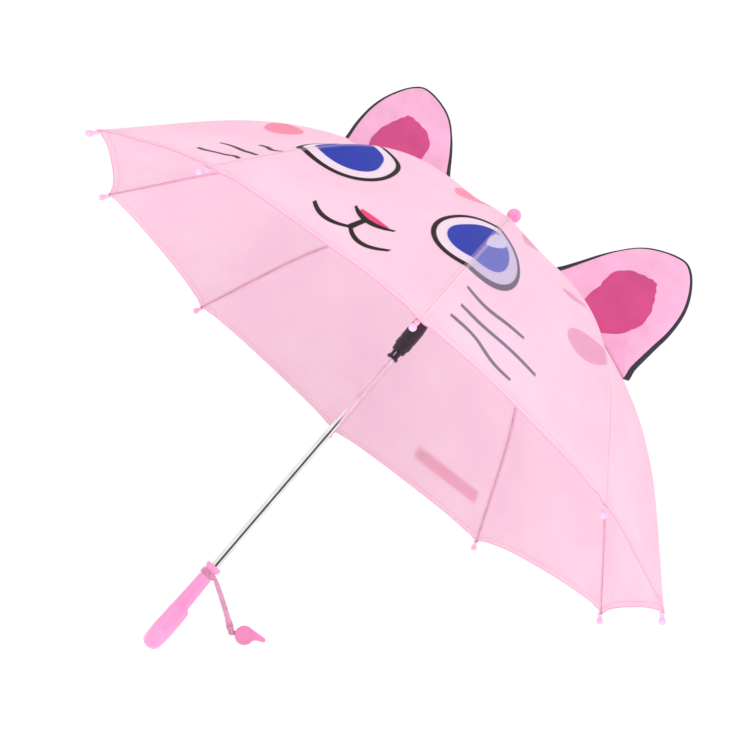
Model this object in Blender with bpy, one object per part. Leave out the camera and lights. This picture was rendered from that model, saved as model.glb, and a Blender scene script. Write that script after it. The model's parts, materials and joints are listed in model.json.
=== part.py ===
"""Children's stick umbrella, standing open on its handle.

The shaft runs up +Z from the bottom of the handle at z = 0, and the printed side of the canopy
faces -Y. Ten ribs swing on a wire ring in the crown. A stretcher pushes each rib up from a second
wire ring in the runner. All lengths are in metres.
"""

import math

import bmesh
import bpy
from mathutils import Vector

# Canopy and frame
RIB_COUNT = 10
RIB_STEP = 2 * math.pi / RIB_COUNT
FIRST_RIB_ANGLE = math.radians(216)
RIM_RADIUS = 0.400
RIM_HEIGHT = 0.351
DOME_RISE = 0.234
DOME_RADIUS = (RIM_RADIUS**2 + DOME_RISE**2) / (2 * DOME_RISE)
DOME_CENTRE_Z = RIM_HEIGHT + DOME_RISE - DOME_RADIUS
TIP_ANGLE = math.asin(RIM_RADIUS / DOME_RADIUS)
RIB_FLATNESS = 0.0085
RIB_FLAT_FROM = 0.40
GAP = 0.0003

# Wire rings that the ribs and stretchers turn on
RING_RADIUS = 0.009
WIRE_RADIUS = 0.0004
EYE_RADIUS = 0.0016
EYE_HOLE = 0.0008
BLADE_THICKNESS = 0.0012
BLADE_LENGTH = 0.0045
SLOT_WIDTH = 0.0018
PIVOT_ANGLE = math.asin(RING_RADIUS / DOME_RADIUS)
PIVOT_HEIGHT = DOME_CENTRE_Z + DOME_RADIUS * math.cos(PIVOT_ANGLE)

# Ribs, stretchers and tip caps
ROD_RADIUS = 0.0014
ROD_SIDES = 6
ROD_STEPS = 14
ROD_STOP = 0.0012
LUG_REACH = 0.196
LUG_DROP = 0.0034
LUG_THICKNESS = 0.0010
LUG_HOLE = 0.00085
FORK_WIDTH = 0.0032
FORK_GAP = 0.0016
FORK_DEPTH = 0.0034
FORK_LENGTH = 0.0085
RIVET_RADIUS = 0.00055
CHANNEL_WIDTH = 0.0026
CHANNEL_HEIGHT = 0.0022
CAP_BALL = 0.0036
CAP_NECK = 0.0024
CAP_LENGTH = 0.0090
CAP_BORE = 0.0018

# Fabric
FABRIC_LIFT = 0.0023
FABRIC_THICKNESS = 0.0008
FABRIC_PUFF = -0.30
FABRIC_SEAM = 0.0002
PANEL_INNER = 0.012
PANEL_CORNER_BACK = 0.010
PANEL_SCALLOP = 0.0045
PANEL_STEPS = 12
PANEL_SPLITS = 3

# Shaft, crown, runner and ferrule
SHAFT_RADIUS = 0.0040
SHAFT_BORE = 0.0034
SHAFT_FOOT = 0.073
SHAFT_TOP = PIVOT_HEIGHT + 0.022
SLEEVE_RADIUS = 0.0067
HEAD_RADIUS = 0.0105
HEAD_HALF = 0.0024
GROOVE_FLOOR = 0.0083
GROOVE_HALF = 0.0007
RUNNER_LENGTH = 0.0888
CATCH_DROP = 0.040
CATCH_TOOTH = 0.0056
CATCH_THICKNESS = 0.0014

# Handle
COLLAR_TOP = 0.108
HOOK_TURN = math.radians(21.5)
HOOK_BEND = 0.017
HOOK_LOW = 0.026
HOOK_TIP = 0.046
GRIP_SIDES = 20

# Whistle on its strap
STRAP_TURN = math.radians(18)
LOOP_INNER = 0.0072
LOOP_OUTER = 0.0086
LOOP_LOW = 0.0945
LOOP_HIGH = 0.1005
STRAP_START = (0.0099, 0.0975)
STRAP_END = (0.0585, 0.0670)
STRAP_WIDTH = 0.0060
STRAP_THICKNESS = 0.0016
STRAP_FORK_WIDTH = 0.0060
WHISTLE_TURN = math.radians(26)
WHISTLE_RADIUS = 0.010
WHISTLE_WIDTH = 0.013
WHISTLE_REACH = 0.014

# Ears, in fractions of the rim radius: distance from the shaft, height above the rim
EAR_THICKNESS = 0.003
EAR_BASE_ANGLES = (math.radians(9.3), math.radians(27.3))
EAR_CURVE = (
    (0.242, 0.666),
    (0.300, 0.753),
    (0.362, 0.806),
    (0.435, 0.828),
    (0.487, 0.815),
    (0.527, 0.755),
    (0.545, 0.675),
    (0.538, 0.590),
    (0.527, 0.500),
)

# Closing strap, on the panel behind the shaft
TIE_PANEL = 7
TIE_SPAN = (0.08, 0.53)
TIE_ANGLES = (math.radians(53.6), math.radians(55.4))
TIE_LIFT = 0.0043
TIE_THICKNESS = 0.0010

PINK_PLASTIC = (0.92, 0.30, 0.55)
PINK_FABRIC = (0.93, 0.58, 0.72)
STEEL = (0.78, 0.78, 0.80)
BLACK_PLASTIC = (0.02, 0.02, 0.025)


def clear_scene():
    for thing in list(bpy.data.objects):
        bpy.data.objects.remove(thing, do_unlink=True)


def finish(name, colour, roughness, metallic=0.0):
    """A plain material with the given colour and surface."""
    material = bpy.data.materials.new(name)
    material.use_nodes = True
    shader = material.node_tree.nodes["Principled BSDF"]
    shader.inputs["Base Color"].default_value = (*colour, 1.0)
    shader.inputs["Roughness"].default_value = roughness
    shader.inputs["Metallic"].default_value = metallic
    material.diffuse_color = (*colour, 1.0)
    return material


def place(name, mesh, material=None):
    """An object in the scene for a mesh."""
    thing = bpy.data.objects.new(name, mesh)
    if material is not None:
        mesh.materials.clear()
        mesh.materials.append(material)
    bpy.context.scene.collection.objects.link(thing)
    return thing


def to_mesh(name, shape, smooth_angle=40):
    """Turns a bmesh into mesh data with outward normals and smooth round faces."""
    bmesh.ops.recalc_face_normals(shape, faces=shape.faces)
    mesh = bpy.data.meshes.new(name)
    shape.to_mesh(mesh)
    shape.free()
    mesh.shade_smooth()
    mesh.set_sharp_from_angle(angle=math.radians(smooth_angle))
    return mesh


def skin(name, rings, closed=False):
    """Joins rings of points into a skin. A ring of one point is a pole; open ends are capped."""
    shape = bmesh.new()
    loops = [[shape.verts.new(point) for point in ring] for ring in rings]
    count = max(len(loop) for loop in loops)
    pairs = list(zip(loops, loops[1:]))
    if closed:
        pairs.append((loops[-1], loops[0]))
    for lower, upper in pairs:
        for i in range(count):
            j = (i + 1) % count
            corners = (
                lower[i % len(lower)],
                lower[j % len(lower)],
                upper[j % len(upper)],
                upper[i % len(upper)],
            )
            shape.faces.new(tuple(dict.fromkeys(corners)))
    if not closed:
        for loop in (loops[0], loops[-1]):
            if len(loop) > 1:
                shape.faces.new(loop)
    return to_mesh(name, shape)


def turned(name, profile, sides, closed=False):
    """Revolves (radius, height) points about Z. A closed profile leaves a hole down the middle."""
    rings = []
    for radius, height in profile:
        if radius == 0:
            rings.append([Vector((0, 0, height))])
            continue
        angles = [2 * math.pi * i / sides for i in range(sides)]
        ring = [Vector((radius * math.cos(a), radius * math.sin(a), height)) for a in angles]
        rings.append(ring)
    return skin(name, rings, closed)


def prism(name, outline, thickness):
    """Extrudes an outline of (x, z) points to both sides of the plane y = 0."""
    half = thickness / 2
    rings = [[Vector((x, y, z)) for x, z in outline] for y in (-half, half)]
    return skin(name, rings)


def arc(centre, radius, start, end, steps):
    """Points (x, z) on a circle from one angle in degrees to another."""
    points = []
    for i in range(steps + 1):
        angle = math.radians(start + (end - start) * i / steps)
        x = centre[0] + radius * math.cos(angle)
        z = centre[1] + radius * math.sin(angle)
        points.append((x, z))
    return points


def circle(centre, radius, sides):
    return arc(centre, radius, 0, 360, sides)[:-1]


def box_outline(x_low, x_high, z_low, z_high):
    return [(x_low, z_low), (x_high, z_low), (x_high, z_high), (x_low, z_high)]


def carve(mesh, tool, operation):
    """The mesh after a Boolean with the tool mesh."""
    target = place("carved", mesh)
    cutter = place("cutter", tool)
    boolean = target.modifiers.new("boolean", "BOOLEAN")
    boolean.operation = operation
    boolean.solver = "EXACT"
    boolean.object = cutter
    bpy.context.view_layer.update()
    graph = bpy.context.evaluated_depsgraph_get()
    result = bpy.data.meshes.new_from_object(target.evaluated_get(graph))
    bpy.data.objects.remove(target)
    bpy.data.objects.remove(cutter)
    return result


def moved(mesh, offset=(0, 0, 0), turn=0.0):
    """Turns a mesh about Z, then shifts it."""
    cosine = math.cos(turn)
    sine = math.sin(turn)
    for vertex in mesh.vertices:
        x, y, z = vertex.co
        vertex.co = (
            x * cosine - y * sine + offset[0],
            x * sine + y * cosine + offset[1],
            z + offset[2],
        )
    return mesh


def smooth_curve(points, steps):
    """A Catmull-Rom curve through the inner points of a list; the end points only steer it."""
    curve = []
    for a, b, c, d in zip(points, points[1:], points[2:], points[3:]):
        for i in range(steps):
            t = i / steps
            weights = (
                -0.5 * t**3 + t**2 - 0.5 * t,
                1.5 * t**3 - 2.5 * t**2 + 1,
                -1.5 * t**3 + 2 * t**2 + 0.5 * t,
                0.5 * t**3 - 0.5 * t**2,
            )
            x = sum(w * p[0] for w, p in zip(weights, (a, b, c, d)))
            z = sum(w * p[1] for w, p in zip(weights, (a, b, c, d)))
            curve.append((x, z))
    curve.append(points[-2])
    return curve


def rib_angle(number):
    """Direction of a rib about the shaft; ribs are numbered 1 to 10."""
    return FIRST_RIB_ANGLE + RIB_STEP * (number - 1)


def flatness(angle):
    """How far a rib runs inside the dome's circle: its outer part is straighter than its middle."""
    share = (angle / TIP_ANGLE - RIB_FLAT_FROM) / (1 - RIB_FLAT_FROM)
    share = min(max(share, 0.0), 1.0)
    return RIB_FLATNESS * math.sin(math.pi * share**1.9)


def rib_point(angle, offset=0.0):
    """A point over the rib's curve, from its pivot: x outward, z up."""
    radius = DOME_RADIUS - flatness(angle) + offset
    x = radius * math.sin(angle) - RING_RADIUS
    z = radius * math.cos(angle) - DOME_RADIUS * math.cos(PIVOT_ANGLE)
    return Vector((x, 0, z))


def canopy_point(panel, angle, share, offset):
    """A point on the canopy. Share runs from 0 at the panel's own rib to 1 at the next rib."""
    half_gore = RIB_STEP / 2
    aside = (share - 0.5) * RIB_STEP
    chord = math.cos(half_gore) / math.cos(aside)
    pull = chord + (1 - chord) * FABRIC_PUFF
    reach = DOME_RADIUS - flatness(angle) + offset
    radius = reach * math.sin(angle) * pull
    height = DOME_CENTRE_Z + reach * math.cos(angle)
    turn = rib_angle(panel) + share * RIB_STEP
    return Vector((radius * math.cos(turn), radius * math.sin(turn), height))


LUG_ANGLE = math.asin(LUG_REACH / DOME_RADIUS)
LUG_POINT = rib_point(LUG_ANGLE, -LUG_DROP)
STRETCHER_LENGTH = LUG_POINT.length
CAP_RUN = rib_point(TIP_ANGLE) - rib_point(TIP_ANGLE - CAP_LENGTH / DOME_RADIUS)
CAP_SLOPE = math.atan2(-CAP_RUN.z, CAP_RUN.x)
RUNNER_RING_HEIGHT = PIVOT_HEIGHT + 2 * LUG_POINT.z
RUNNER_FOOT = RUNNER_RING_HEIGHT - RUNNER_LENGTH


def eye_blade(name, length):
    """A flat blade along +X with a drilled round eye at the origin."""
    half = 0.0012
    outline = arc((0, 0), EYE_RADIUS, 50, 310, 8)
    outline += [(length, -half), (length, half)]
    blade = prism(name, outline, BLADE_THICKNESS)
    drill = prism("drill", circle((0, 0), EYE_HOLE, 10), 2 * BLADE_THICKNESS)
    return carve(blade, drill, "DIFFERENCE")


def rib_mesh():
    """A bowed steel rod with an eye at the crown end and a drilled lug for the stretcher."""
    start = PIVOT_ANGLE + BLADE_LENGTH / DOME_RADIUS
    end = TIP_ANGLE - ROD_STOP / DOME_RADIUS
    rings = []
    for step in range(ROD_STEPS + 1):
        angle = start + (end - start) * step / ROD_STEPS
        ring = []
        for side in range(ROD_SIDES):
            turn = 2 * math.pi * side / ROD_SIDES
            point = rib_point(angle, ROD_RADIUS * math.sin(turn))
            point.y = ROD_RADIUS * math.cos(turn)
            ring.append(point)
        rings.append(ring)
    rod = skin("rod", rings)
    rod = carve(rod, eye_blade("blade", BLADE_LENGTH + 0.002), "UNION")
    outward = Vector((math.sin(LUG_ANGLE), 0, math.cos(LUG_ANGLE)))
    facing = math.degrees(math.atan2(outward.z, outward.x))
    root = (LUG_POINT.x + outward.x * LUG_DROP, LUG_POINT.z + outward.z * LUG_DROP)
    side_step = (outward.z * EYE_RADIUS, -outward.x * EYE_RADIUS)
    outline = arc((LUG_POINT.x, LUG_POINT.z), EYE_RADIUS, facing + 90, facing + 270, 6)
    outline.append((root[0] + side_step[0], root[1] + side_step[1]))
    outline.append((root[0] - side_step[0], root[1] - side_step[1]))
    rod = carve(rod, prism("lug", outline, LUG_THICKNESS), "UNION")
    drill = prism("drill", circle((LUG_POINT.x, LUG_POINT.z), LUG_HOLE, 10), 0.004)
    return carve(rod, drill, "DIFFERENCE")


def stretcher_mesh():
    """A steel channel along +X: a riveted fork at the origin and an eye at the far end."""
    half = CHANNEL_HEIGHT / 2
    outline = arc((0, 0), EYE_RADIUS, 45, 315, 8)
    outline += [(FORK_LENGTH, -half), (FORK_LENGTH, half)]
    body = prism("fork", outline, FORK_WIDTH)
    gap = prism("gap", box_outline(-0.004, FORK_DEPTH, -0.003, 0.003), FORK_GAP)
    body = carve(body, gap, "DIFFERENCE")
    rivet = prism("rivet", circle((0, 0), RIVET_RADIUS, 8), FORK_WIDTH - 0.0004)
    body = carve(body, rivet, "UNION")
    channel_end = STRETCHER_LENGTH - BLADE_LENGTH
    channel = prism("channel", box_outline(FORK_LENGTH - 0.002, channel_end, -half, half), CHANNEL_WIDTH)
    body = carve(body, channel, "UNION")
    blade = eye_blade("blade", BLADE_LENGTH + 0.002)
    for vertex in blade.vertices:
        vertex.co.x = STRETCHER_LENGTH - vertex.co.x
    blade.flip_normals()
    return carve(body, blade, "UNION")


def tip_cap_mesh():
    """A ball on a short neck, bored to take the end of a rib. Its axis is Z, ball at the origin."""
    profile = [(0, -0.0006), (CAP_BORE, -0.0006), (CAP_BORE, -CAP_LENGTH)]
    profile += [(CAP_NECK, -CAP_LENGTH), (CAP_NECK, -0.0055), (CAP_NECK - 0.0003, -0.0042)]
    ball = arc((0, 0), CAP_BALL, -50, 90, 6)
    profile += ball[:-1]
    profile.append((0, CAP_BALL))
    return turned("tip_cap", profile, 10)


def panel_mesh(number):
    """One gore of the canopy, between its own rib and the next."""
    tip = TIP_ANGLE - PANEL_CORNER_BACK / DOME_RADIUS
    start = math.asin(PANEL_INNER / DOME_RADIUS)
    columns = []
    for split in range(PANEL_SPLITS + 1):
        share = split / PANEL_SPLITS
        hem = tip - PANEL_SCALLOP / DOME_RADIUS * 4 * share * (1 - share)
        column = []
        for step in range(PANEL_STEPS + 1):
            angle = start + (hem - start) * step / PANEL_STEPS
            inset = FABRIC_SEAM / (DOME_RADIUS * math.sin(angle) * RIB_STEP)
            column.append((angle, inset + share * (1 - 2 * inset)))
        columns.append(column)
    rings = []
    for column in columns:
        top = [canopy_point(number, a, s, FABRIC_LIFT + FABRIC_THICKNESS) for a, s in column]
        under = [canopy_point(number, a, s, FABRIC_LIFT) for a, s in column]
        rings.append(top + under[::-1])
    return skin("panel", rings)


def sheet_mesh(panel, shares, angles, low, high, splits):
    """A strip of tape lying on a panel."""
    rings = []
    for split in range(splits + 1):
        share = shares[0] + (shares[1] - shares[0]) * split / splits
        corners = ((angles[0], low), (angles[1], low), (angles[1], high), (angles[0], high))
        rings.append([canopy_point(panel, angle, share, lift) for angle, lift in corners])
    return skin("tape", rings)


def ear_mesh(side):
    """A flat padded ear that stands on the seam of a rib, in the plane through the shaft."""
    inner, outer = EAR_BASE_ANGLES
    lift = FABRIC_LIFT + FABRIC_THICKNESS + 0.0006
    radius = DOME_RADIUS + lift
    base = []
    for step in range(9):
        angle = outer + (inner - outer) * step / 8
        base.append((radius * math.sin(angle), DOME_CENTRE_Z + radius * math.cos(angle)))
    curve = [(RIM_RADIUS * x, RIM_HEIGHT + RIM_RADIUS * z) for x, z in EAR_CURVE]
    steer = [base[-2], base[-1]] + curve + [base[0], base[1]]
    outline = base[:-1] + smooth_curve(steer, 3)[:-1]
    return prism("ear", [(side * x, z) for x, z in outline], EAR_THICKNESS)


def wire_ring_mesh(height):
    """A closed ring of wire, level, at a height on the shaft."""
    profile = circle((RING_RADIUS, height), WIRE_RADIUS, 6)
    return turned("wire", profile, 30, closed=True)


def slot_cutter(height):
    """Ten radial slots, one for each rib, through a notched head."""
    shape = bmesh.new()
    for number in range(1, RIB_COUNT + 1):
        turn = rib_angle(number)
        outward = Vector((math.cos(turn), math.sin(turn), 0))
        aside = Vector((-math.sin(turn), math.cos(turn), 0)) * SLOT_WIDTH / 2
        rings = []
        for z in (height - 0.004, height + 0.004):
            lift = Vector((0, 0, z))
            near = outward * 0.0070 + lift
            far = outward * 0.0130 + lift
            ring = (near - aside, far - aside, far + aside, near + aside)
            rings.append([shape.verts.new(point) for point in ring])
        for i in range(4):
            j = (i + 1) % 4
            shape.faces.new((rings[0][i], rings[0][j], rings[1][j], rings[1][i]))
        shape.faces.new(rings[0])
        shape.faces.new(rings[1])
    return to_mesh("slots", shape)


def notched_head(height):
    """Profile points of a head with a wire groove, from its lower edge to its upper edge."""
    return [
        (SLEEVE_RADIUS, height - HEAD_HALF),
        (HEAD_RADIUS, height - HEAD_HALF),
        (HEAD_RADIUS, height - GROOVE_HALF),
        (GROOVE_FLOOR, height - GROOVE_HALF),
        (GROOVE_FLOOR, height + GROOVE_HALF),
        (HEAD_RADIUS, height + GROOVE_HALF),
        (HEAD_RADIUS, height + HEAD_HALF),
    ]


def crown_mesh():
    """The fixed notch at the top of the shaft."""
    bore = SHAFT_RADIUS + GAP
    foot = PIVOT_HEIGHT - 0.014
    profile = [(bore, foot), (SLEEVE_RADIUS, foot)]
    profile += notched_head(PIVOT_HEIGHT)
    profile.append((bore, PIVOT_HEIGHT + HEAD_HALF))
    crown = turned("crown", profile, 24, closed=True)
    return carve(crown, slot_cutter(PIVOT_HEIGHT), "DIFFERENCE")


def runner_mesh():
    """The sliding runner: a notched head, a swollen grip, a slim neck and a bottom flange."""
    bore = SHAFT_RADIUS + 0.00025
    foot = RUNNER_FOOT
    profile = [(bore, foot), (0.0062, foot), (0.0066, foot + 0.0006), (0.0066, foot + 0.0028)]
    profile += [(0.0053, foot + 0.0034), (0.0053, foot + 0.0095), (0.0077, foot + 0.0105)]
    profile += [(0.0083, foot + 0.014), (0.0095, foot + 0.021), (0.0095, foot + 0.042)]
    profile += [(0.0082, foot + 0.052), (SLEEVE_RADIUS, foot + 0.060)]
    profile += notched_head(RUNNER_RING_HEIGHT)
    profile.append((bore, RUNNER_RING_HEIGHT + HEAD_HALF))
    runner = turned("runner", profile, 24, closed=True)
    runner = carve(runner, slot_cutter(RUNNER_RING_HEIGHT), "DIFFERENCE")
    keyway = prism("keyway", box_outline(-0.0011, 0.0011, foot - 0.01, PIVOT_HEIGHT), 0.0059)
    return carve(runner, moved(keyway, (0, -0.00295, 0)), "DIFFERENCE")


def shaft_mesh():
    """The steel tube, with a window near the top for the spring catch."""
    ends = (SHAFT_FOOT, SHAFT_TOP)
    profile = [(SHAFT_BORE, ends[0]), (SHAFT_RADIUS, ends[0])]
    profile += [(SHAFT_RADIUS, ends[1]), (SHAFT_BORE, ends[1])]
    tube = turned("shaft", profile, 24, closed=True)
    catch = RUNNER_RING_HEIGHT - CATCH_DROP
    window = prism("window", box_outline(-0.0010, 0.0010, catch - 0.0095, catch + 0.0006), 0.003)
    return carve(tube, moved(window, (0, -0.0038, 0)), "DIFFERENCE")


def catch_mesh():
    """A leaf inside the tube with a ramped tooth that stands out through the window."""
    top = RUNNER_RING_HEIGHT - CATCH_DROP
    leaf_in = 0.0006
    leaf_out = 0.0018
    outline = [(leaf_in, top - 0.026), (leaf_out, top - 0.026), (leaf_out, top - 0.0085)]
    outline += [(CATCH_TOOTH, top - 0.0012), (CATCH_TOOTH, top), (leaf_in, top)]
    return moved(prism("catch", outline, CATCH_THICKNESS), turn=-math.pi / 2)


def ferrule_mesh():
    """A ball on a waisted stem that closes the top of the shaft."""
    base = PIVOT_HEIGHT + 0.0104
    ball = PIVOT_HEIGHT + 0.0327
    bore = SHAFT_RADIUS + GAP
    profile = [(0, SHAFT_TOP + 0.001), (bore, SHAFT_TOP + 0.001), (bore, base), (0.0064, base)]
    profile += [(0.0064, base + 0.003), (0.0056, base + 0.005), (0.0056, base + 0.0135)]
    profile += arc((0, ball), 0.008, -45, 90, 8)[:-1]
    profile.append((0, ball + 0.008))
    return turned("ferrule", profile, 20)


def rosette_mesh():
    """The gathered fabric washer over the hole in the middle of the canopy."""
    low = PIVOT_HEIGHT + 0.0036
    bore = SHAFT_RADIUS + 0.0005
    profile = [(bore, low), (0.017, low), (0.017, low + 0.0012), (0.011, low + 0.0028)]
    profile += [(0.0068, low + 0.0064), (bore, low + 0.0064)]
    return turned("rosette", profile, 20, closed=True)


def handle_mesh():
    """The moulded handle: collar, neck, grip and a hook that turns up in front."""
    stations = [(COLLAR_TOP, 0.0088, 0.0088), (COLLAR_TOP - 0.0035, 0.0088, 0.0088)]
    stations += [(0.1030, 0.0078, 0.0078), (0.1020, 0.0068, 0.0068), (0.0935, 0.0068, 0.0068)]
    stations += [(0.0920, 0.0073, 0.0074), (0.0750, 0.0077, 0.0079), (0.0500, 0.0081, 0.0086)]
    stations += [(0.0360, 0.0083, 0.0092)]
    toward = Vector((math.sin(HOOK_TURN), -math.cos(HOOK_TURN), 0))
    aside = Vector((math.cos(HOOK_TURN), math.sin(HOOK_TURN), 0))
    rings = []

    def add_ring(centre, level, half_depth, half_width):
        ring = []
        for i in range(GRIP_SIDES):
            turn = 2 * math.pi * i / GRIP_SIDES
            ring.append(centre + level * half_depth * math.cos(turn) + aside * half_width * math.sin(turn))
        rings.append(ring)

    for height, half_depth, half_width in stations:
        add_ring(Vector((0, 0, height)), toward, half_depth, half_width)
    centre = toward * HOOK_BEND + Vector((0, 0, HOOK_LOW))
    for step in range(9):
        turn = math.pi * step / 8
        level = toward * math.cos(turn) + Vector((0, 0, 1)) * math.sin(turn)
        swell = math.sin(turn) * 0.0006
        add_ring(centre - level * HOOK_BEND, level, 0.0084 + swell, 0.0096 + 0.0008 * step / 8)
    tip = centre + toward * HOOK_BEND
    for rise, share in ((0.010, 1.0), (0.0200, 0.99), (0.0250, 0.93), (0.0285, 0.78), (0.0302, 0.50)):
        add_ring(tip + Vector((0, 0, rise)), -toward, 0.0082 * share, 0.0104 * share)
    handle = skin("handle", rings)
    socket = [(0, SHAFT_FOOT - 0.001), (SHAFT_RADIUS + GAP, SHAFT_FOOT - 0.001)]
    socket += [(SHAFT_RADIUS + GAP, COLLAR_TOP + 0.01), (0, COLLAR_TOP + 0.01)]
    return carve(handle, turned("socket", socket, 24), "DIFFERENCE")


def whistle_loop_mesh():
    """The closed end of the strap, a flat band round the neck of the handle."""
    profile = [(LOOP_INNER, LOOP_LOW), (LOOP_OUTER, LOOP_LOW)]
    profile += [(LOOP_OUTER, LOOP_HIGH), (LOOP_INNER, LOOP_HIGH)]
    return turned("loop", profile, 24, closed=True)


def whistle_strap_mesh():
    """The strap in the plane y = 0: a thin band that ends in a forked and pinned head."""
    run = (STRAP_END[0] - STRAP_START[0], STRAP_END[1] - STRAP_START[1])
    length = math.hypot(*run)
    half = STRAP_WIDTH / 2
    knuckle = STRAP_THICKNESS / 2
    outline = arc((0, 0), knuckle, 90, 270, 6)
    outline += [(0.0025, -knuckle), (0.0080, -half), (length - 0.0110, -half), (length - 0.0052, -0.0023)]
    outline += [(length - 0.0052, 0.0023), (length - 0.0110, half), (0.0080, half), (0.0025, knuckle)]
    band = prism("band", outline, STRAP_THICKNESS)
    outline = [(length - 0.0066, 0.0019), (length - 0.0066, -0.0019)]
    outline += arc((length, 0), 0.0023, -130, 130, 8)
    head = prism("head", outline, STRAP_FORK_WIDTH)
    gap = prism("gap", box_outline(length - 0.0033, length + 0.004, -0.004, 0.004), 0.0024)
    head = carve(head, gap, "DIFFERENCE")
    pin = prism("pin", circle((length, 0), 0.0010, 10), STRAP_FORK_WIDTH - 0.001)
    return carve(carve(head, pin, "UNION"), band, "UNION")


def whistle_mesh():
    """A pea whistle: round chamber at the origin, mouthpiece along +X, lug along -X."""
    radius = WHISTLE_RADIUS
    outline = arc((0, 0), radius, 84, 332, 18)
    outline += [(0.0125, -0.0022), (0.0205, -0.0024)]
    outline += arc((0.0206, 0), 0.0022, -70, 70, 4)
    body = prism("body", outline, WHISTLE_WIDTH)
    body = carve(body, prism("chamber", circle((0, 0), 0.0082, 20), 0.010), "DIFFERENCE")
    body = carve(body, prism("windway", box_outline(0.005, 0.03, 0.0002, 0.0014), 0.009), "DIFFERENCE")
    body = carve(body, prism("window", box_outline(0.0035, 0.0085, 0.0008, 0.012), 0.009), "DIFFERENCE")
    lug = arc((-WHISTLE_REACH, 0), 0.0023, 90, 270, 6)
    lug += [(-0.0088, -0.0023), (-0.0088, 0.0023)]
    body = carve(body, prism("lug", lug, 0.0018), "UNION")
    drill = prism("drill", circle((-WHISTLE_REACH, 0), 0.0013, 10), 0.004)
    return carve(body, drill, "DIFFERENCE")


def pea_mesh():
    """The loose ball in the whistle, resting on the chamber wall."""
    shape = bmesh.new()
    bmesh.ops.create_icosphere(shape, subdivisions=1, radius=0.0031)
    bmesh.ops.translate(shape, verts=shape.verts, vec=(-0.002, 0, -0.0042))
    return to_mesh("pea", shape, 180)


def build_frame():
    """Ribs, stretchers, tip caps and canopy panels, ten of each."""
    steel = finish("frame_steel", STEEL, 0.25, 1.0)
    cap_pink = finish("tip_cap_pink", PINK_PLASTIC, 0.35)
    cloth = finish("canopy_cloth", PINK_FABRIC, 0.7)
    rib = rib_mesh()
    stretcher = stretcher_mesh()
    cap = tip_cap_mesh()
    slope = math.atan2(-LUG_POINT.z, LUG_POINT.x)
    for number in range(1, RIB_COUNT + 1):
        turn = rib_angle(number)
        arm = place(f"rib_{number:02d}", rib, steel)
        arm.location = (RING_RADIUS * math.cos(turn), RING_RADIUS * math.sin(turn), PIVOT_HEIGHT)
        arm.rotation_euler = (0, 0, turn)
        strut = place(f"stretcher_{number:02d}", stretcher, steel)
        strut.parent = arm
        strut.location = LUG_POINT
        strut.rotation_euler = (0, math.pi - slope, 0)
        ball = place(f"tip_cap_{number:02d}", cap, cap_pink)
        ball.parent = arm
        ball.location = rib_point(TIP_ANGLE)
        ball.rotation_euler = (0, math.pi / 2 + CAP_SLOPE, 0)
        place(f"canopy_panel_{number:02d}", panel_mesh(number), cloth)


def build_shaft():
    """Everything that stays on the shaft, and the runner that slides on it."""
    chrome = finish("shaft_chrome", STEEL, 0.08, 1.0)
    wire = finish("wire_steel", STEEL, 0.35, 1.0)
    black = finish("black_plastic", BLACK_PLASTIC, 0.4)
    pink = finish("handle_pink", PINK_PLASTIC, 0.18)
    cloth = finish("rosette_cloth", PINK_FABRIC, 0.7)
    place("shaft_tube", shaft_mesh(), chrome)
    place("crown", crown_mesh(), black)
    place("crown_wire", wire_ring_mesh(PIVOT_HEIGHT), wire)
    place("runner", runner_mesh(), black)
    place("runner_wire", wire_ring_mesh(RUNNER_RING_HEIGHT), wire)
    place("top_spring_catch", catch_mesh(), wire)
    place("ferrule_cap", ferrule_mesh(), pink)
    place("canopy_rosette", rosette_mesh(), cloth)
    place("handle", handle_mesh(), pink)


def build_whistle():
    """The strap and whistle that hang from the neck of the handle."""
    clear_pink = finish("strap_pink", (0.95, 0.45, 0.62), 0.15)
    pink = finish("whistle_pink", PINK_PLASTIC, 0.3)
    cork = finish("pea_cork", (0.72, 0.52, 0.34), 0.8)
    outward = Vector((math.cos(STRAP_TURN), math.sin(STRAP_TURN), 0))
    place("whistle_loop", whistle_loop_mesh(), clear_pink)
    strap = place("whistle_strap", whistle_strap_mesh(), clear_pink)
    fall = math.atan2(STRAP_START[1] - STRAP_END[1], STRAP_END[0] - STRAP_START[0])
    strap.location = outward * STRAP_START[0] + Vector((0, 0, STRAP_START[1]))
    strap.rotation_euler = (0, fall, STRAP_TURN)
    ahead = WHISTLE_REACH * math.cos(WHISTLE_TURN)
    above = WHISTLE_REACH * math.sin(WHISTLE_TURN)
    chamber = outward * (STRAP_END[0] + ahead) + Vector((0, 0, STRAP_END[1] + above))
    for name, mesh, material in (("whistle", whistle_mesh(), pink), ("whistle_pea", pea_mesh(), cork)):
        thing = place(name, mesh, material)
        thing.location = chamber
        thing.rotation_euler = (0, -WHISTLE_TURN, STRAP_TURN)


def build_soft_parts():
    """The two ears and the closing strap with its fastener pad."""
    cloth = finish("ear_cloth", PINK_FABRIC, 0.7)
    tape = finish("strap_tape", PINK_FABRIC, 0.7)
    pad = finish("fastener_pad", (0.90, 0.50, 0.66), 0.95)
    place("ear_left", ear_mesh(-1), cloth)
    place("ear_right", ear_mesh(1), cloth)
    high = TIE_LIFT + TIE_THICKNESS
    strap = sheet_mesh(TIE_PANEL, TIE_SPAN, TIE_ANGLES, TIE_LIFT, high, 8)
    place("closing_strap", strap, tape)
    pad_span = (TIE_SPAN[1] - 0.075, TIE_SPAN[1] - 0.008)
    inset = math.radians(0.15)
    pad_angles = (TIE_ANGLES[0] + inset, TIE_ANGLES[1] - inset)
    patch = sheet_mesh(TIE_PANEL, pad_span, pad_angles, high + GAP, high + 0.0011, 2)
    place("strap_fastener_pad", patch, pad)


clear_scene()
build_frame()
build_shaft()
build_whistle()
build_soft_parts()
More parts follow.
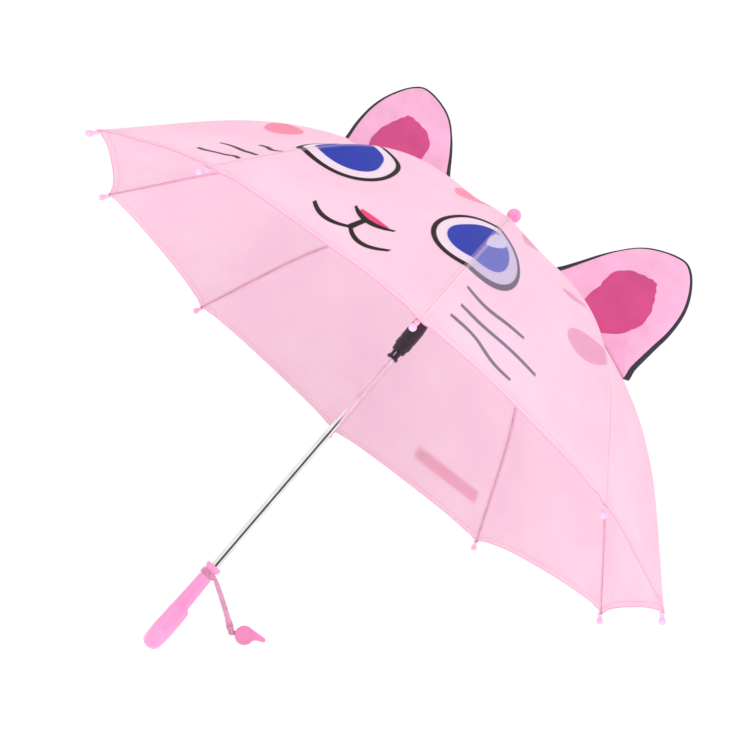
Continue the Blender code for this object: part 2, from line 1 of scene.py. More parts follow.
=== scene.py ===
"""Looks of the children's umbrella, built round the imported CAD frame. Lengths are in metres."""

import json
import math

import bmesh
import bpy
import numpy as np
from mathutils import Matrix, Vector


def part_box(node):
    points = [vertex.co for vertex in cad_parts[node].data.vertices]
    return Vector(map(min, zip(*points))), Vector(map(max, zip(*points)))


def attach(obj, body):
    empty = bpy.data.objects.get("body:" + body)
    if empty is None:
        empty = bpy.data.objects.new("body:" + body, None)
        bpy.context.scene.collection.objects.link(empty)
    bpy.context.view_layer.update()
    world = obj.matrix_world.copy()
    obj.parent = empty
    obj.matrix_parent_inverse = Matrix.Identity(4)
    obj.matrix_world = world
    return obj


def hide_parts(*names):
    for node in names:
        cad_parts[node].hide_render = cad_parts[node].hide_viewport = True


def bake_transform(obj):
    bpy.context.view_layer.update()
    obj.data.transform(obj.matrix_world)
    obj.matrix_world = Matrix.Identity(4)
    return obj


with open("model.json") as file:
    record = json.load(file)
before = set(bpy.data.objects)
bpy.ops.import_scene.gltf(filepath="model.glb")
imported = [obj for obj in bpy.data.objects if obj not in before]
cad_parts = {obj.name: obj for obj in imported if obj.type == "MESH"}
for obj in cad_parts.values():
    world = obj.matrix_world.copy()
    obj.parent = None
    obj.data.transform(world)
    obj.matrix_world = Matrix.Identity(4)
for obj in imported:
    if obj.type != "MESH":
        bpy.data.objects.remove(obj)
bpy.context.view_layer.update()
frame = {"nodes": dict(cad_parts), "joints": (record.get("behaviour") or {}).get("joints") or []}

# ---------------------------------------------------------------- sizes read from the frame

RIB_COUNT = 10
RIB_STEP = 2 * math.pi / RIB_COUNT
CAP_BALL = 0.0036
BALL = 0.008
LUG_DROP = 0.0034
EYE = 0.0016
BLADE = 0.0065

joints = {joint["name"]: joint for joint in frame["joints"]}
pivot = Vector(joints["canopy_fold"]["pos_m"])
RING = math.hypot(pivot.x, pivot.y)
PIVOT_Z = pivot.z
FIRST_RIB = math.atan2(pivot.y, pivot.x)
tip_low, tip_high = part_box("tip_cap_05")
RIM = tip_high.x - CAP_BALL
TIP_Z = tip_low.z + CAP_BALL
CENTRE_Z = (RIM**2 + TIP_Z**2 - RING**2 - PIVOT_Z**2) / (2 * (TIP_Z - PIVOT_Z))
DOME = math.hypot(RIM, TIP_Z - CENTRE_Z)
TIP_ANGLE = math.asin(RIM / DOME)
PIVOT_ANGLE = math.asin(RING / DOME)
lug = Vector(joints["stretcher_05_swing"]["pos_m"])
RUNNER_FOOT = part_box("runner")[0].z
RUNNER_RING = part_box("runner_wire")[0].z + 0.0004
shaft_low, shaft_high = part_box("shaft_tube")
SHAFT = shaft_high.x
HANDLE_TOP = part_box("handle")[1].z

# Canopy cloth
LIFT = 0.0026
CLOTH = 0.0005
MIDDLE_PUFF = -0.75
HEM_PUFF = -0.05
FLATNESS = 0.0085
FLAT_FROM = 0.40
SEAM_COLUMNS = 36
HEM_ROWS = 84
CORNER_BACK = 0.0078
MIDDLE_BACK = 0.0150
FRONT_BACK = 0.0065
RAISED_HEMS = {6: 0.0055}
HEM_FOLD = 0.0060


# ---------------------------------------------------------------- mesh helpers


def link(name, mesh, material=None, smooth=True):
    """An object for a mesh, smooth between its sharp edges."""
    thing = bpy.data.objects.new(name, mesh)
    bpy.context.scene.collection.objects.link(thing)
    if material is not None:
        mesh.materials.append(material)
    if smooth:
        mesh.shade_smooth()
        mesh.set_sharp_from_angle(angle=math.radians(38))
    return thing


def ridden(name, mesh, material, body, slot, *nodes):
    """A piece of a body that stands in for the given CAD nodes."""
    thing = link(name, mesh, material)
    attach(thing, body)
    if nodes:
        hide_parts(*nodes)
    return thing


def make_mesh(name, points, faces):
    mesh = bpy.data.meshes.new(name)
    mesh.from_pydata([tuple(p) for p in points], [], faces)
    mesh.validate()
    mesh.update()
    return mesh


def face_out(mesh):
    """Turns every face outward."""
    shape = bmesh.new()
    shape.from_mesh(mesh)
    bmesh.ops.recalc_face_normals(shape, faces=shape.faces)
    shape.to_mesh(mesh)
    shape.free()
    return mesh


def skin(name, rings, closed=False):
    """Joins rings of points. A ring of one point is a pole; open ends are capped."""
    points = []
    loops = []
    for ring in rings:
        loops.append(list(range(len(points), len(points) + len(ring))))
        points.extend(ring)
    count = max(len(loop) for loop in loops)
    faces = []
    pairs = list(zip(loops, loops[1:]))
    if closed:
        pairs.append((loops[-1], loops[0]))
    for lower, upper in pairs:
        for i in range(count):
            j = (i + 1) % count
            corners = (
                lower[i % len(lower)],
                lower[j % len(lower)],
                upper[j % len(upper)],
                upper[i % len(upper)],
            )
            faces.append(tuple(dict.fromkeys(corners)))
    if not closed:
        faces += [tuple(loop) for loop in (loops[0], loops[-1]) if len(loop) > 1]
    return face_out(make_mesh(name, points, faces))


def rounded(profile, radius, steps=4, closed=False):
    """A profile of (r, z) points with each corner replaced by a small curve."""
    count = len(profile)
    result = []
    for i, point in enumerate(profile):
        if not closed and i in (0, count - 1):
            result.append(point)
            continue
        here = np.array(point, float)
        before = np.array(profile[i - 1], float) - here
        after = np.array(profile[(i + 1) % count], float) - here
        near = min(radius, 0.45 * np.linalg.norm(before), 0.45 * np.linalg.norm(after))
        start = here + before / np.linalg.norm(before) * near
        end = here + after / np.linalg.norm(after) * near
        for step in range(steps + 1):
            t = step / steps
            curve = start * (1 - t) ** 2 + here * 2 * t * (1 - t) + end * t**2
            result.append((max(curve[0], 0.0), curve[1]))
    return result


def turned(name, profile, sides, closed=False, wobble=None):
    """Revolves (radius, height) points about Z."""
    rings = []
    for radius, height in profile:
        if radius == 0:
            rings.append([(0, 0, height)])
            continue
        ring = []
        for i in range(sides):
            turn = 2 * math.pi * i / sides
            r, z = (radius, height) if wobble is None else wobble(radius, height, turn)
            ring.append((r * math.cos(turn), r * math.sin(turn), z))
        rings.append(ring)
    return skin(name, rings, closed)


def arc(centre, radius, start, end, steps):
    """Points round a centre, from one angle to another in degrees."""
    angles = [math.radians(start + (end - start) * i / steps) for i in range(steps + 1)]
    return [(centre[0] + radius * math.cos(a), centre[1] + radius * math.sin(a)) for a in angles]


def lifted(points, level):
    """Profile points whose heights are measured from level."""
    return [(radius, level + height) for radius, height in points]


def circle(centre, radius, steps):
    """Points of a full circle, the first not repeated."""
    return arc(centre, radius, 0, 360, steps)[:-1]


def oblong(left, right, low, high):
    """The corners of an upright rectangle."""
    return [(left, low), (right, low), (right, high), (left, high)]


def prism(name, outline, thickness):
    """Extrudes (x, z) points to both sides of y = 0."""
    half = thickness / 2
    return skin(name, [[(x, y, z) for x, z in outline] for y in (-half, half)])


def carve(mesh, tool, operation="DIFFERENCE"):
    """The mesh after a Boolean with the tool mesh."""
    target = link("carved", mesh, smooth=False)
    cutter = link("cutter", tool, smooth=False)
    boolean = target.modifiers.new("boolean", "BOOLEAN")
    boolean.operation = operation
    boolean.solver = "EXACT"
    boolean.object = cutter
    bpy.context.view_layer.update()
    graph = bpy.context.evaluated_depsgraph_get()
    result = bpy.data.meshes.new_from_object(target.evaluated_get(graph))
    bpy.data.objects.remove(target)
    bpy.data.objects.remove(cutter)
    return result


def joined(name, meshes):
    """Several meshes as one, each keeping its own shell."""
    shape = bmesh.new()
    for mesh in meshes:
        shape.from_mesh(mesh)
    result = bpy.data.meshes.new(name)
    shape.to_mesh(result)
    shape.free()
    return result


def bevelled(thing, width, segments=3, angle=32):
    """Rounds a piece's sharp edges."""
    bevel = thing.modifiers.new("edges", "BEVEL")
    bevel.width = width
    bevel.segments = segments
    bevel.limit_method = "ANGLE"
    bevel.angle_limit = math.radians(angle)
    bevel.harden_normals = True
    return thing


def smooth_curve(points, steps):
    """A Catmull-Rom curve through the inner points; the end points only steer it."""
    curve = []
    for a, b, c, d in zip(points, points[1:], points[2:], points[3:]):
        a, b, c, d = (np.array(p, float) for p in (a, b, c, d))
        for i in range(steps):
            t = i / steps
            curve.append(
                a * (-0.5 * t**3 + t**2 - 0.5 * t)
                + b * (1.5 * t**3 - 2.5 * t**2 + 1)
                + c * (-1.5 * t**3 + 2 * t**2 + 0.5 * t)
                + d * (0.5 * t**3 - 0.5 * t**2)
            )
    curve.append(np.array(points[-2], float))
    return curve


def closed_curve(points, steps):
    """A smooth closed curve through every point."""
    loop = [points[-1], *points, points[0], points[1]]
    return smooth_curve(loop, steps)[:-1]


def rib_angle(number):
    """Heading of a rib, numbered from 1."""
    return FIRST_RIB + RIB_STEP * (number - 1)


def rib_matrix(number):
    """Places a rib's own frame: origin at its pivot, x outward, z up."""
    turn = rib_angle(number)
    spot = Vector((RING * math.cos(turn), RING * math.sin(turn), PIVOT_Z))
    return Matrix.Translation(spot) @ Matrix.Rotation(turn, 4, "Z")


def set_on(origin, x, y, z):
    """A matrix that sets a mesh down at origin, with its axes along x, y and z."""
    turn = Matrix((x, y, z)).transposed().to_4x4()
    return Matrix.Translation(origin) @ turn


def flatness(angle):
    """How far a rib runs inside the dome's circle: its outer part is straighter than its middle."""
    share = np.clip((angle / TIP_ANGLE - FLAT_FROM) / (1 - FLAT_FROM), 0, 1)
    return FLATNESS * np.sin(math.pi * share**1.9)


def rib_point(angle):
    """A point on a rib's centre line, in the rib's own frame."""
    radius = DOME - float(flatness(angle))
    x = radius * math.sin(angle) - RING
    z = radius * math.cos(angle) - DOME * math.cos(PIVOT_ANGLE)
    return Vector((x, 0, z))


# ---------------------------------------------------------------- materials


class Field:
    """A number at each point of a surface, kept as the output of a Math node."""

    def __init__(self, tree, socket):
        self.tree = tree
        self.socket = socket

    def join(self, operation, *others):
        node = self.tree.nodes.new("ShaderNodeMath")
        node.operation = operation
        for slot, value in enumerate((self, *others)):
            if isinstance(value, Field):
                self.tree.links.new(value.socket, node.inputs[slot])
            else:
                node.inputs[slot].default_value = value
        return Field(self.tree, node.outputs[0])

    def __add__(self, other):
        return self.join("ADD", other)

    def __sub__(self, other):
        return self.join("SUBTRACT", other)

    def __mul__(self, other):
        return self.join("MULTIPLY", other)

    def __truediv__(self, other):
        return self.join("DIVIDE", other)

    def least(self, other):
        return self.join("MINIMUM", other)

    def most(self, other):
        return self.join("MAXIMUM", other)

    def size(self):
        return self.join("ABSOLUTE")

    def power(self, exponent):
        return self.join("POWER", exponent)

    def sine(self):
        return self.join("SINE")

    def covered(self, softness):
        """1 where the field is positive, 0 where negative, with a soft edge."""
        return (self / softness + 0.5).most(0.0).least(1.0)


def ramp(tree, factor, stops):
    """A colour that runs through stops of (position, colour) as a field grows."""
    node = tree.nodes.new("ShaderNodeValToRGB")
    tree.links.new(factor.socket, node.inputs["Fac"])
    band = node.color_ramp
    while len(band.elements) < len(stops):
        band.elements.new(0.5)
    for element, (position, colour) in zip(band.elements, stops):
        element.position = position
        element.color = (*colour, 1.0)
    return node.outputs["Color"]


def mixed(tree, factor, first, second):
    """Mixes two colours by a field. Each colour is a socket or an (r, g, b) value."""
    node = tree.nodes.new("ShaderNodeMix")
    node.data_type = "RGBA"
    tree.links.new(factor.socket, node.inputs["Factor"])
    for slot, colour in ((6, first), (7, second)):
        if isinstance(colour, tuple):
            node.inputs[slot].default_value = (*colour, 1.0)
        else:
            tree.links.new(colour, node.inputs[slot])
    return node.outputs[2]


def dial(node, **values):
    """Sets plain inputs of a node; an underscore stands for a space in the input's name."""
    for key, value in values.items():
        node.inputs[key.replace("_", " ")].default_value = value


def noise(tree, coordinates, scale, **settings):
    node = tree.nodes.new("ShaderNodeTexNoise")
    dial(node, Scale=scale, **settings)
    tree.links.new(coordinates, node.inputs["Vector"])
    return Field(tree, node.outputs["Fac"])


def bump(tree, height, strength, distance):
    node = tree.nodes.new("ShaderNodeBump")
    dial(node, Strength=strength, Distance=distance)
    tree.links.new(height.socket, node.inputs["Height"])
    return node.outputs["Normal"]


def new_material(name):
    material = bpy.data.materials.new(name)
    material.use_nodes = True
    tree = material.node_tree
    return material, tree, tree.nodes["Principled BSDF"]


def object_coordinates(tree):
    return tree.nodes.new("ShaderNodeTexCoord").outputs["Object"]


def uv(tree, name):
    node = tree.nodes.new("ShaderNodeUVMap")
    node.uv_map = name
    return node.outputs["UV"]


def split_uv(tree, name):
    node = tree.nodes.new("ShaderNodeSeparateXYZ")
    tree.links.new(uv(tree, name), node.inputs[0])
    return Field(tree, node.outputs[0]), Field(tree, node.outputs[1])


def plastic(name, colour, roughness, coat=0.0, grain=0.02, depth=0.00004):
    """Moulded plastic: fine orange peel, faint flow marks in the colour, light scuffs."""
    material, tree, shader = new_material(name)
    place = object_coordinates(tree)
    flow = noise(tree, place, 18.0, Detail=3.0, Roughness=0.55)
    dark = tuple(c * (1 - grain * 4) for c in colour)
    light = tuple(min(1.0, c * (1 + grain * 3)) for c in colour)
    shade = ramp(tree, flow, ((0.3, dark), (0.7, light)))
    tree.links.new(shade, shader.inputs["Base Color"])
    peel = noise(tree, place, 420.0, Detail=1.0)
    scuff = noise(tree, place, 140.0, Detail=6.0, Roughness=0.7)
    rough = scuff * 0.12 + (roughness - 0.05)
    tree.links.new(rough.socket, shader.inputs["Roughness"])
    tree.links.new(bump(tree, peel, 0.25, depth), shader.inputs["Normal"])
    dial(shader, Coat_Weight=coat, Coat_Roughness=0.08)
    return material


def metal(name, colour, roughness, scratch, bare=1.0):
    """Plated steel with drawing marks along its length and a few dull patches."""
    material, tree, shader = new_material(name)
    mapping = tree.nodes.new("ShaderNodeMapping")
    mapping.inputs["Scale"].default_value = (1.0, 1.0, 0.02)
    tree.links.new(object_coordinates(tree), mapping.inputs["Vector"])
    lines = noise(tree, mapping.outputs[0], 1500.0, Detail=4.0)
    patches = noise(tree, object_coordinates(tree), 60.0, Detail=5.0)
    dull = tuple(c * 0.86 for c in colour)
    shade = ramp(tree, patches, ((0.35, dull), (0.62, colour)))
    tree.links.new(shade, shader.inputs["Base Color"])
    rough = lines * 0.10 + patches * 0.08
    tree.links.new((rough + (roughness - 0.09)).socket, shader.inputs["Roughness"])
    tree.links.new(bump(tree, lines, 0.12 * scratch, 0.00002), shader.inputs["Normal"])
    dial(shader, Metallic=bare)
    return material


# Where things are printed, in degrees of the dome: x to the right, y down from the top
PRINT_MIDDLE = 0.55
OUTLINE = (0.055, 0.030, 0.040)
WHITE_INK = (0.93, 0.84, 0.90)
IRIS_INK = (0.070, 0.110, 0.60)
GLINT_INK = (0.95, 0.90, 0.95)
NOSE_INK = (0.90, 0.14, 0.36)
PATCH_INK = (0.94, 0.33, 0.46)
# Painted sheen: a pale lilac tint that the print is mixed toward where light glances off gore 3
PAINTED_SHEEN_TINT = (0.62, 0.60, 0.86)
EDGE = 0.10


def oval(x, y, centre, half, lean=0.0, egg=0.0):
    """A field that is positive inside an egg-shaped oval, in degrees near its edge."""
    down = y - centre[1]
    across = x - centre[0] - down * lean
    v = down / half[1]
    u = across / half[0] / (v * egg + 1.0)
    return (u * u + v * v).power(0.5) * -half[0] + half[0]


def blob(x, y, centre, radius, waves):
    """A field that is positive inside a lobed disc; each wave gives a cosine and a sine swell."""
    across, down = x - centre[0], y - centre[1]
    turn = down.join("ARCTAN2", across)
    edge = (across * across + down * down).power(0.5) * -1.0 + radius
    for count, (cosine, sine) in enumerate(waves, 1):
        edge = edge + (turn * count).join("COSINE") * cosine + (turn * count).sine() * sine
    return edge


def stroke(x, y, start, end, width, bow=0.0, wave=0.0, taper=0.35):
    """A brush stroke from start to end that bows aside, waves, and thins to its ends."""
    run = (end[0] - start[0], end[1] - start[1])
    length = math.hypot(*run)
    along = ((x - start[0]) * (run[0] / length) + (y - start[1]) * (run[1] / length)) / length
    aside = (y - start[1]) * (run[0] / length) - (x - start[0]) * (run[1] / length)
    middle = along * (along * -1.0 + 1.0) * (4 * bow)
    if wave:
        middle = middle + (along * (2 * math.pi)).sine() * wave
    swell = (along * (along * -1.0 + 1.0)).most(0.0).power(0.5) * (2 * (1 - taper)) + taper
    body = swell * (width / 2) - (aside - middle).size()
    ends = (along.least(along * -1.0 + 1.0)) * length + width / 2
    return body.least(ends)


def face_print(tree, colour, ink, painted_sheen):
    """The cat face: eyes, nose, mouth, whiskers and cheek and forehead patches."""
    wide, y = split_uv(tree, "print")
    x = wide - PRINT_MIDDLE
    mirrored = x.size()

    def lay(field, paint, strength=1.0):
        nonlocal colour
        # Each ink is mixed toward a pale lilac by the given share: a painted sheen over the print
        paint = tuple(p + (h - p) * painted_sheen for p, h in zip(paint, PAINTED_SHEEN_TINT))
        colour = mixed(tree, field.covered(EDGE) * (strength * ink), colour, paint)

    eye = ((x + 0.35).size(), y)
    lay(blob(*eye, (11.53, 36.96), 7.05, ((0.03, 0.14), (-0.17, -0.13), (0.31, 0.13))), OUTLINE)
    lay(blob(*eye, (11.45, 36.83), 6.30, ((0.03, 0.13), (-0.18, -0.20), (0.26, 0.07))), WHITE_INK)
    lay(blob(*eye, (11.34, 36.58), 4.70, ((0.04, 0.24), (-0.34, -0.17), (0.20, 0.16))), IRIS_INK)
    lay(oval(x, y, (11.30, 33.9), (1.0, 2.7), 0.06, -0.45), GLINT_INK)
    lay(oval(x, y, (-13.55, 34.4), (1.0, 2.4), 0.0, -0.45), GLINT_INK)

    lay(oval(x, y, (0.1, 47.75), (2.5, 1.65)).least(y - 47.75), NOSE_INK)
    lay(stroke(x, y, (-2.8, 48.4), (3.1, 48.0), 1.00, 1.15, 0.0, 0.60), OUTLINE)
    lay(stroke(x, y, (-0.3, 49.4), (-0.4, 52.3), 0.90, 0.0, 0.0, 0.95), OUTLINE)
    lay(stroke(x, y, (-6.5, 52.3), (-0.3, 52.2), 0.85, 1.40, 0.0, 0.90), OUTLINE)
    lay(stroke(x, y, (-0.4, 52.2), (5.9, 51.8), 0.85, 1.65, 0.0, 0.90), OUTLINE)

    for start, end, bow, wave in (
        ((16.4, 45.2), (25.2, 39.1), 0.50, 0.25),
        ((18.3, 48.1), (30.4, 40.2), 0.25, 0.12),
        ((19.0, 50.8), (29.7, 46.1), 0.10, -0.36),
    ):
        lay(stroke(mirrored, y, start, end, 0.66, bow, wave, 0.80), OUTLINE, 0.92)

    for spot, half, lean in (((27.9, 24.7), (2.4, 4.2), -0.10), ((20.0, 18.9), (0.9, 2.3), -0.33)):
        lay(oval(mirrored, y, spot, half, lean, 0.25), PATCH_INK, 0.66)
    lay(oval(x, y, (0.6, 20.2), (2.9, 8.0), 0.0, -0.2), PATCH_INK, 0.60)
    lay(oval(mirrored, y, (9.6, 16.8), (1.9, 7.4), 0.22, -0.2), PATCH_INK, 0.60)
    return colour


def cloth(name, colour, printed=False, ink=1.0, painted_sheen=0.0, see_through=0.66):
    """Woven polyester: fine weave, folded hem and seam, stitches, puckers, light coming through."""
    material, tree, shader = new_material(name)
    across, down = split_uv(tree, "cloth")
    seam, hem = split_uv(tree, "edges")
    place = uv(tree, "cloth")

    blotch = noise(tree, place, 9.0, Detail=3.0, Roughness=0.6)
    deep = tuple(c * f for c, f in zip(colour, (0.99, 0.965, 0.98)))
    pale = tuple(min(1.0, c * f) for c, f in zip(colour, (1.005, 1.02, 1.01)))
    base = ramp(tree, blotch, ((0.35, deep), (0.65, pale)))
    if printed:
        base = face_print(tree, base, ink, painted_sheen)

    # Double cloth at the hem and the seams lets less light through; the colour there is also painted darker,
    # a painted shade for that lost light
    hem_fold = (hem * -1.0 + HEM_FOLD).covered(0.0008)
    seam_fold = (seam * -1.0 + 0.0030).covered(0.0010)
    folded = hem_fold.most(seam_fold)
    fold_shade_colour = tuple(c * f for c, f in zip(colour, (0.99, 0.84, 0.92)))
    seam_shade_share = 0.15 if printed else 0.40
    base = mixed(tree, (hem_fold * 0.40).most(seam_fold * seam_shade_share), base, fold_shade_colour)
    # The seam line and the hem's very edge are painted deeper pink: painted shade where the cloth lies
    # thickest and dips into its groove
    edge_line = (seam * -1.0 + 0.0006).covered(0.0006)
    hem_rim = (hem * -1.0 + 0.0008).covered(0.0006)
    lines = (edge_line * (0.45 if printed else 0.70)).most(hem_rim)
    base = mixed(tree, lines * 0.75, base, tuple(c * f for c, f in zip(colour, (0.99, 0.45, 0.66))))
    dash = ((across.most(down) * (2 * math.pi / 0.0030)).sine() * 0.5 + 0.5).covered(0.3)
    thread = ((hem - 0.0048).size() * -1.0 + 0.0003).covered(0.0003)
    base = mixed(tree, thread * dash * 0.35, base, (0.95, 0.50, 0.68))
    tree.links.new(base, shader.inputs["Base Color"])

    warp = (across * (2 * math.pi / 0.00055)).sine()
    weft = (down * (2 * math.pi / 0.00055)).sine()
    weave = warp * weft
    pucker = noise(tree, place, 150.0, Detail=2.0)
    near_seam = (seam * (-1 / 0.010) + 1.0).most(0.0).most((hem * (-1 / 0.010) + 1.0).most(0.0))
    crinkle = noise(tree, place, 26.0, Detail=4.0, Roughness=0.55)
    relief = weave * 0.00003 + pucker * near_seam * 0.0011
    relief = relief + crinkle * 0.0012 + folded * 0.0004 - lines * 0.0003
    normal = bump(tree, relief, 0.75, 1.0)
    tree.links.new(normal, shader.inputs["Normal"])
    dial(shader, Roughness=0.52, Sheen_Weight=0.25, Sheen_Roughness=0.4, Specular_IOR_Level=0.35)

    through = tree.nodes.new("ShaderNodeBsdfTranslucent")
    tree.links.new(base, through.inputs["Color"])
    tree.links.new(normal, through.inputs["Normal"])
    blend = tree.nodes.new("ShaderNodeMixShader")
    share = folded * -(see_through * 0.45) + see_through
    tree.links.new(share.socket, blend.inputs[0])
    tree.links.new(shader.outputs[0], blend.inputs[1])
    tree.links.new(through.outputs[0], blend.inputs[2])
    out = next(n for n in tree.nodes if n.type == "OUTPUT_MATERIAL")
    tree.links.new(blend.outputs[0], out.inputs["Surface"])
    return material


def felt(name, colour, weave=0.0006, roughness=0.8, sheen=0.3):
    """Plain close-woven cloth for ears, tape and trim, read from the object's own coordinates."""
    material, tree, shader = new_material(name)
    flat, tall = split_uv(tree, "cloth")
    place = uv(tree, "cloth")
    mottle = noise(tree, place, 35.0, Detail=4.0)
    deep = tuple(c * 0.86 for c in colour)
    base = ramp(tree, mottle, ((0.32, deep), (0.66, colour)))
    tree.links.new(base, shader.inputs["Base Color"])
    threads = (flat * (2 * math.pi / weave)).sine() * (tall * (2 * math.pi / weave)).sine()
    creases = noise(tree, place, 55.0, Detail=3.0)
    relief = threads * 0.00004 + creases * 0.0009
    tree.links.new(bump(tree, relief, 0.7, 1.0), shader.inputs["Normal"])
    dial(shader, Roughness=roughness, Sheen_Weight=sheen)
    return material


PINK_CLOTH = (0.965, 0.765, 0.855)
plain_cloth = cloth("canopy_cloth", PINK_CLOTH)
printed_cloth = cloth("printed_cloth", PINK_CLOTH, printed=True)
# Gore 3's print is paled and its inks weakened: a painted sheen where light glances off that gore
sheen_washed_print_cloth = cloth("sheen_washed_printed_cloth", PINK_CLOTH, printed=True, ink=0.88, painted_sheen=0.36)
tape_cloth = cloth("strap_cloth", (0.95, 0.38, 0.62), see_through=0.62)
ear_pink = felt("ear_pink_cloth", (0.90, 0.45, 0.66), sheen=0.15)
ear_inner_pink = felt("ear_inner_cloth", (0.62, 0.062, 0.225))
ear_black = felt("ear_back_cloth", (0.030, 0.028, 0.040), roughness=0.6)
pad_cloth = felt("fastener_loops", (0.88, 0.40, 0.60), weave=0.0011, roughness=0.95)
chrome = metal("shaft_chrome", (0.96, 0.95, 0.96), 0.10, scratch=0.02)
steel = metal("frame_steel", (0.95, 0.66, 0.79), 0.38, scratch=0.2, bare=0.25)
black_plastic = plastic("black_plastic", (0.018, 0.018, 0.021), 0.36)
gloss_pink = plastic("handle_pink", (0.95, 0.31, 0.59), 0.24, coat=0.4, grain=0.008, depth=0.000002)
cap_pink = plastic("tip_pink", (0.95, 0.45, 0.68), 0.28, coat=0.3, grain=0.01, depth=0.000002)
ferrule_pink = plastic("ferrule_pink", (0.92, 0.30, 0.58), 0.26, coat=0.4, grain=0.01, depth=0.000002)
whistle_pink = plastic("whistle_pink", (0.80, 0.25, 0.48), 0.33, coat=0.15)
pea_cork = plastic("pea_cork", (0.48, 0.29, 0.14), 0.8, grain=0.08, depth=0.0003)


def soft_clear(name, colour):
    """Soft clear vinyl for the whistle strap."""
    material, tree, shader = new_material(name)
    place = object_coordinates(tree)
    cloudy = noise(tree, place, 90.0, Detail=3.0)
    pale = tuple(min(1.0, c * 1.15 + 0.05) for c in colour)
    shade = ramp(tree, cloudy, ((0.35, colour), (0.7, pale)))
    tree.links.new(shade, shader.inputs["Base Color"])
    dial(shader, Roughness=0.12, Transmission_Weight=0.60, IOR=1.42)
    ripples = noise(tree, place, 110.0, Detail=1.0)
    tree.links.new(bump(tree, ripples, 0.2, 0.0001), shader.inputs["Normal"])
    return material


strap_vinyl = soft_clear("strap_vinyl", (0.96, 0.46, 0.68))


# ---------------------------------------------------------------- canopy


def canopy_points(panel, angle, share, lift):
    """Points on the canopy as an array; angle, share and lift are arrays."""
    aside = (share - 0.5) * RIB_STEP
    chord = math.cos(RIB_STEP / 2) / np.cos(aside)
    ease = np.clip((angle / TIP_ANGLE - 0.70) / 0.30, 0, 1)
    puff = MIDDLE_PUFF + (HEM_PUFF - MIDDLE_PUFF) * ease**2 * (3 - 2 * ease)
    reach = DOME - flatness(angle) + lift
    radius = reach * np.sin(angle) * (chord + (1 - chord) * puff)
    height = CENTRE_Z + reach * np.cos(angle)
    turn = rib_angle(panel) + share * RIB_STEP
    return np.stack([radius * np.cos(turn), radius * np.sin(turn), height], -1)


def set_uv(mesh, name, values):
    """A UV map with one value for each vertex."""
    layer = mesh.uv_layers.new(name=name)
    corner = np.zeros(len(mesh.loops), np.int32)
    mesh.loops.foreach_get("vertex_index", corner)
    layer.data.foreach_set("uv", np.asarray(values, np.float32)[corner].ravel())


def gore_fields(number, columns, rows):
    """Share, angle, seam distance and hem distance over one gore."""
    share = np.linspace(0, 1, columns + 1)
    share = 0.5 - 0.5 * np.cos(share * math.pi) * (0.55 + 0.45 * np.abs(np.cos(share * math.pi)))
    share[0], share[-1] = 0.0, 1.0
    bow = (1 - np.abs(2 * share - 1) ** 2.6) ** 0.55
    facing = max(0.0, -math.sin(rib_angle(number) + RIB_STEP / 2))
    middle = MIDDLE_BACK + FRONT_BACK * facing + RAISED_HEMS.get(number, 0.0)
    hem = TIP_ANGLE - (CORNER_BACK + (middle - CORNER_BACK) * bow) / DOME
    start = math.asin(0.0112 / DOME)
    down = np.linspace(0, 1, rows + 1)
    down = down ** 0.92
    angle = start + (hem[:, None] - start) * down[None, :]
    share = np.repeat(share[:, None], rows + 1, 1)
    radius = DOME * np.sin(angle)
    seam = np.minimum(share, 1 - share) * RIB_STEP * radius
    flat = (share - 0.5) * RIB_STEP * radius, DOME * angle
    edge = np.stack([flat[0][:, -1], flat[1][:, -1]], -1)
    to_hem = np.full(share.shape, 1.0)
    for first, last in zip(edge, edge[1:]):
        run = last - first
        x, y = flat[0] - first[0], flat[1] - first[1]
        along = np.clip((x * run[0] + y * run[1]) / (run @ run), 0, 1)
        to_hem = np.minimum(to_hem, np.hypot(x - along * run[0], y - along * run[1]))
    return share, angle, seam, to_hem


def tension(share, angle, to_hem, seed):
    """Small folds that fan out from the two tips and a slow unevenness of the cloth."""
    radius = DOME * np.sin(angle)
    lift = np.zeros_like(share)
    for corner in (0.0, 1.0):
        aside = np.abs(share - corner) * RIB_STEP * radius
        back = DOME * (TIP_ANGLE - angle)
        distance = np.hypot(aside, back)
        fan = np.arctan2(aside, back + 1e-6)
        phase = seed * 1.7 + corner * 2.1
        strength = np.exp(-distance / 0.10) * np.minimum(distance / 0.012, 1.0)
        lift += 0.0011 * strength * np.sin(fan * 11 + phase) * np.sin(fan * 2) ** 2
    across = np.sin(share * math.pi)
    slow = np.sin(angle * 9 + seed * 2.3) * np.sin(share * math.pi * 2 + seed)
    lift += 0.0011 * across * slow
    return lift


def blended_weights(thing):
    """Bakes the object's placement into its mesh."""
    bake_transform(thing)


def shell(name, top, under, values):
    """A closed thin sheet from two grids of points, with UV maps carried on both sides."""
    columns, rows = top.shape[:2]
    count = columns * rows
    points = np.concatenate([top.reshape(-1, 3), under.reshape(-1, 3)])
    index = np.arange(count).reshape(columns, rows)
    faces = []
    for i in range(columns - 1):
        for j in range(rows - 1):
            a, b = index[i, j], index[i, j + 1]
            c, d = index[i + 1, j + 1], index[i + 1, j]
            faces.append((a, b, c, d))
            faces.append((a + count, d + count, c + count, b + count))
    rim = list(index[:, 0]) + list(index[-1, 1:]) + list(index[-2::-1, -1]) + list(index[0, -2:0:-1])
    for a, b in zip(rim, rim[1:] + rim[:1]):
        faces.append((a, b, b + count, a + count))
    mesh = face_out(make_mesh(name, points, faces))
    for key, grid in values.items():
        flat = grid.reshape(-1, 2)
        set_uv(mesh, key, np.concatenate([flat, flat]))
    return mesh


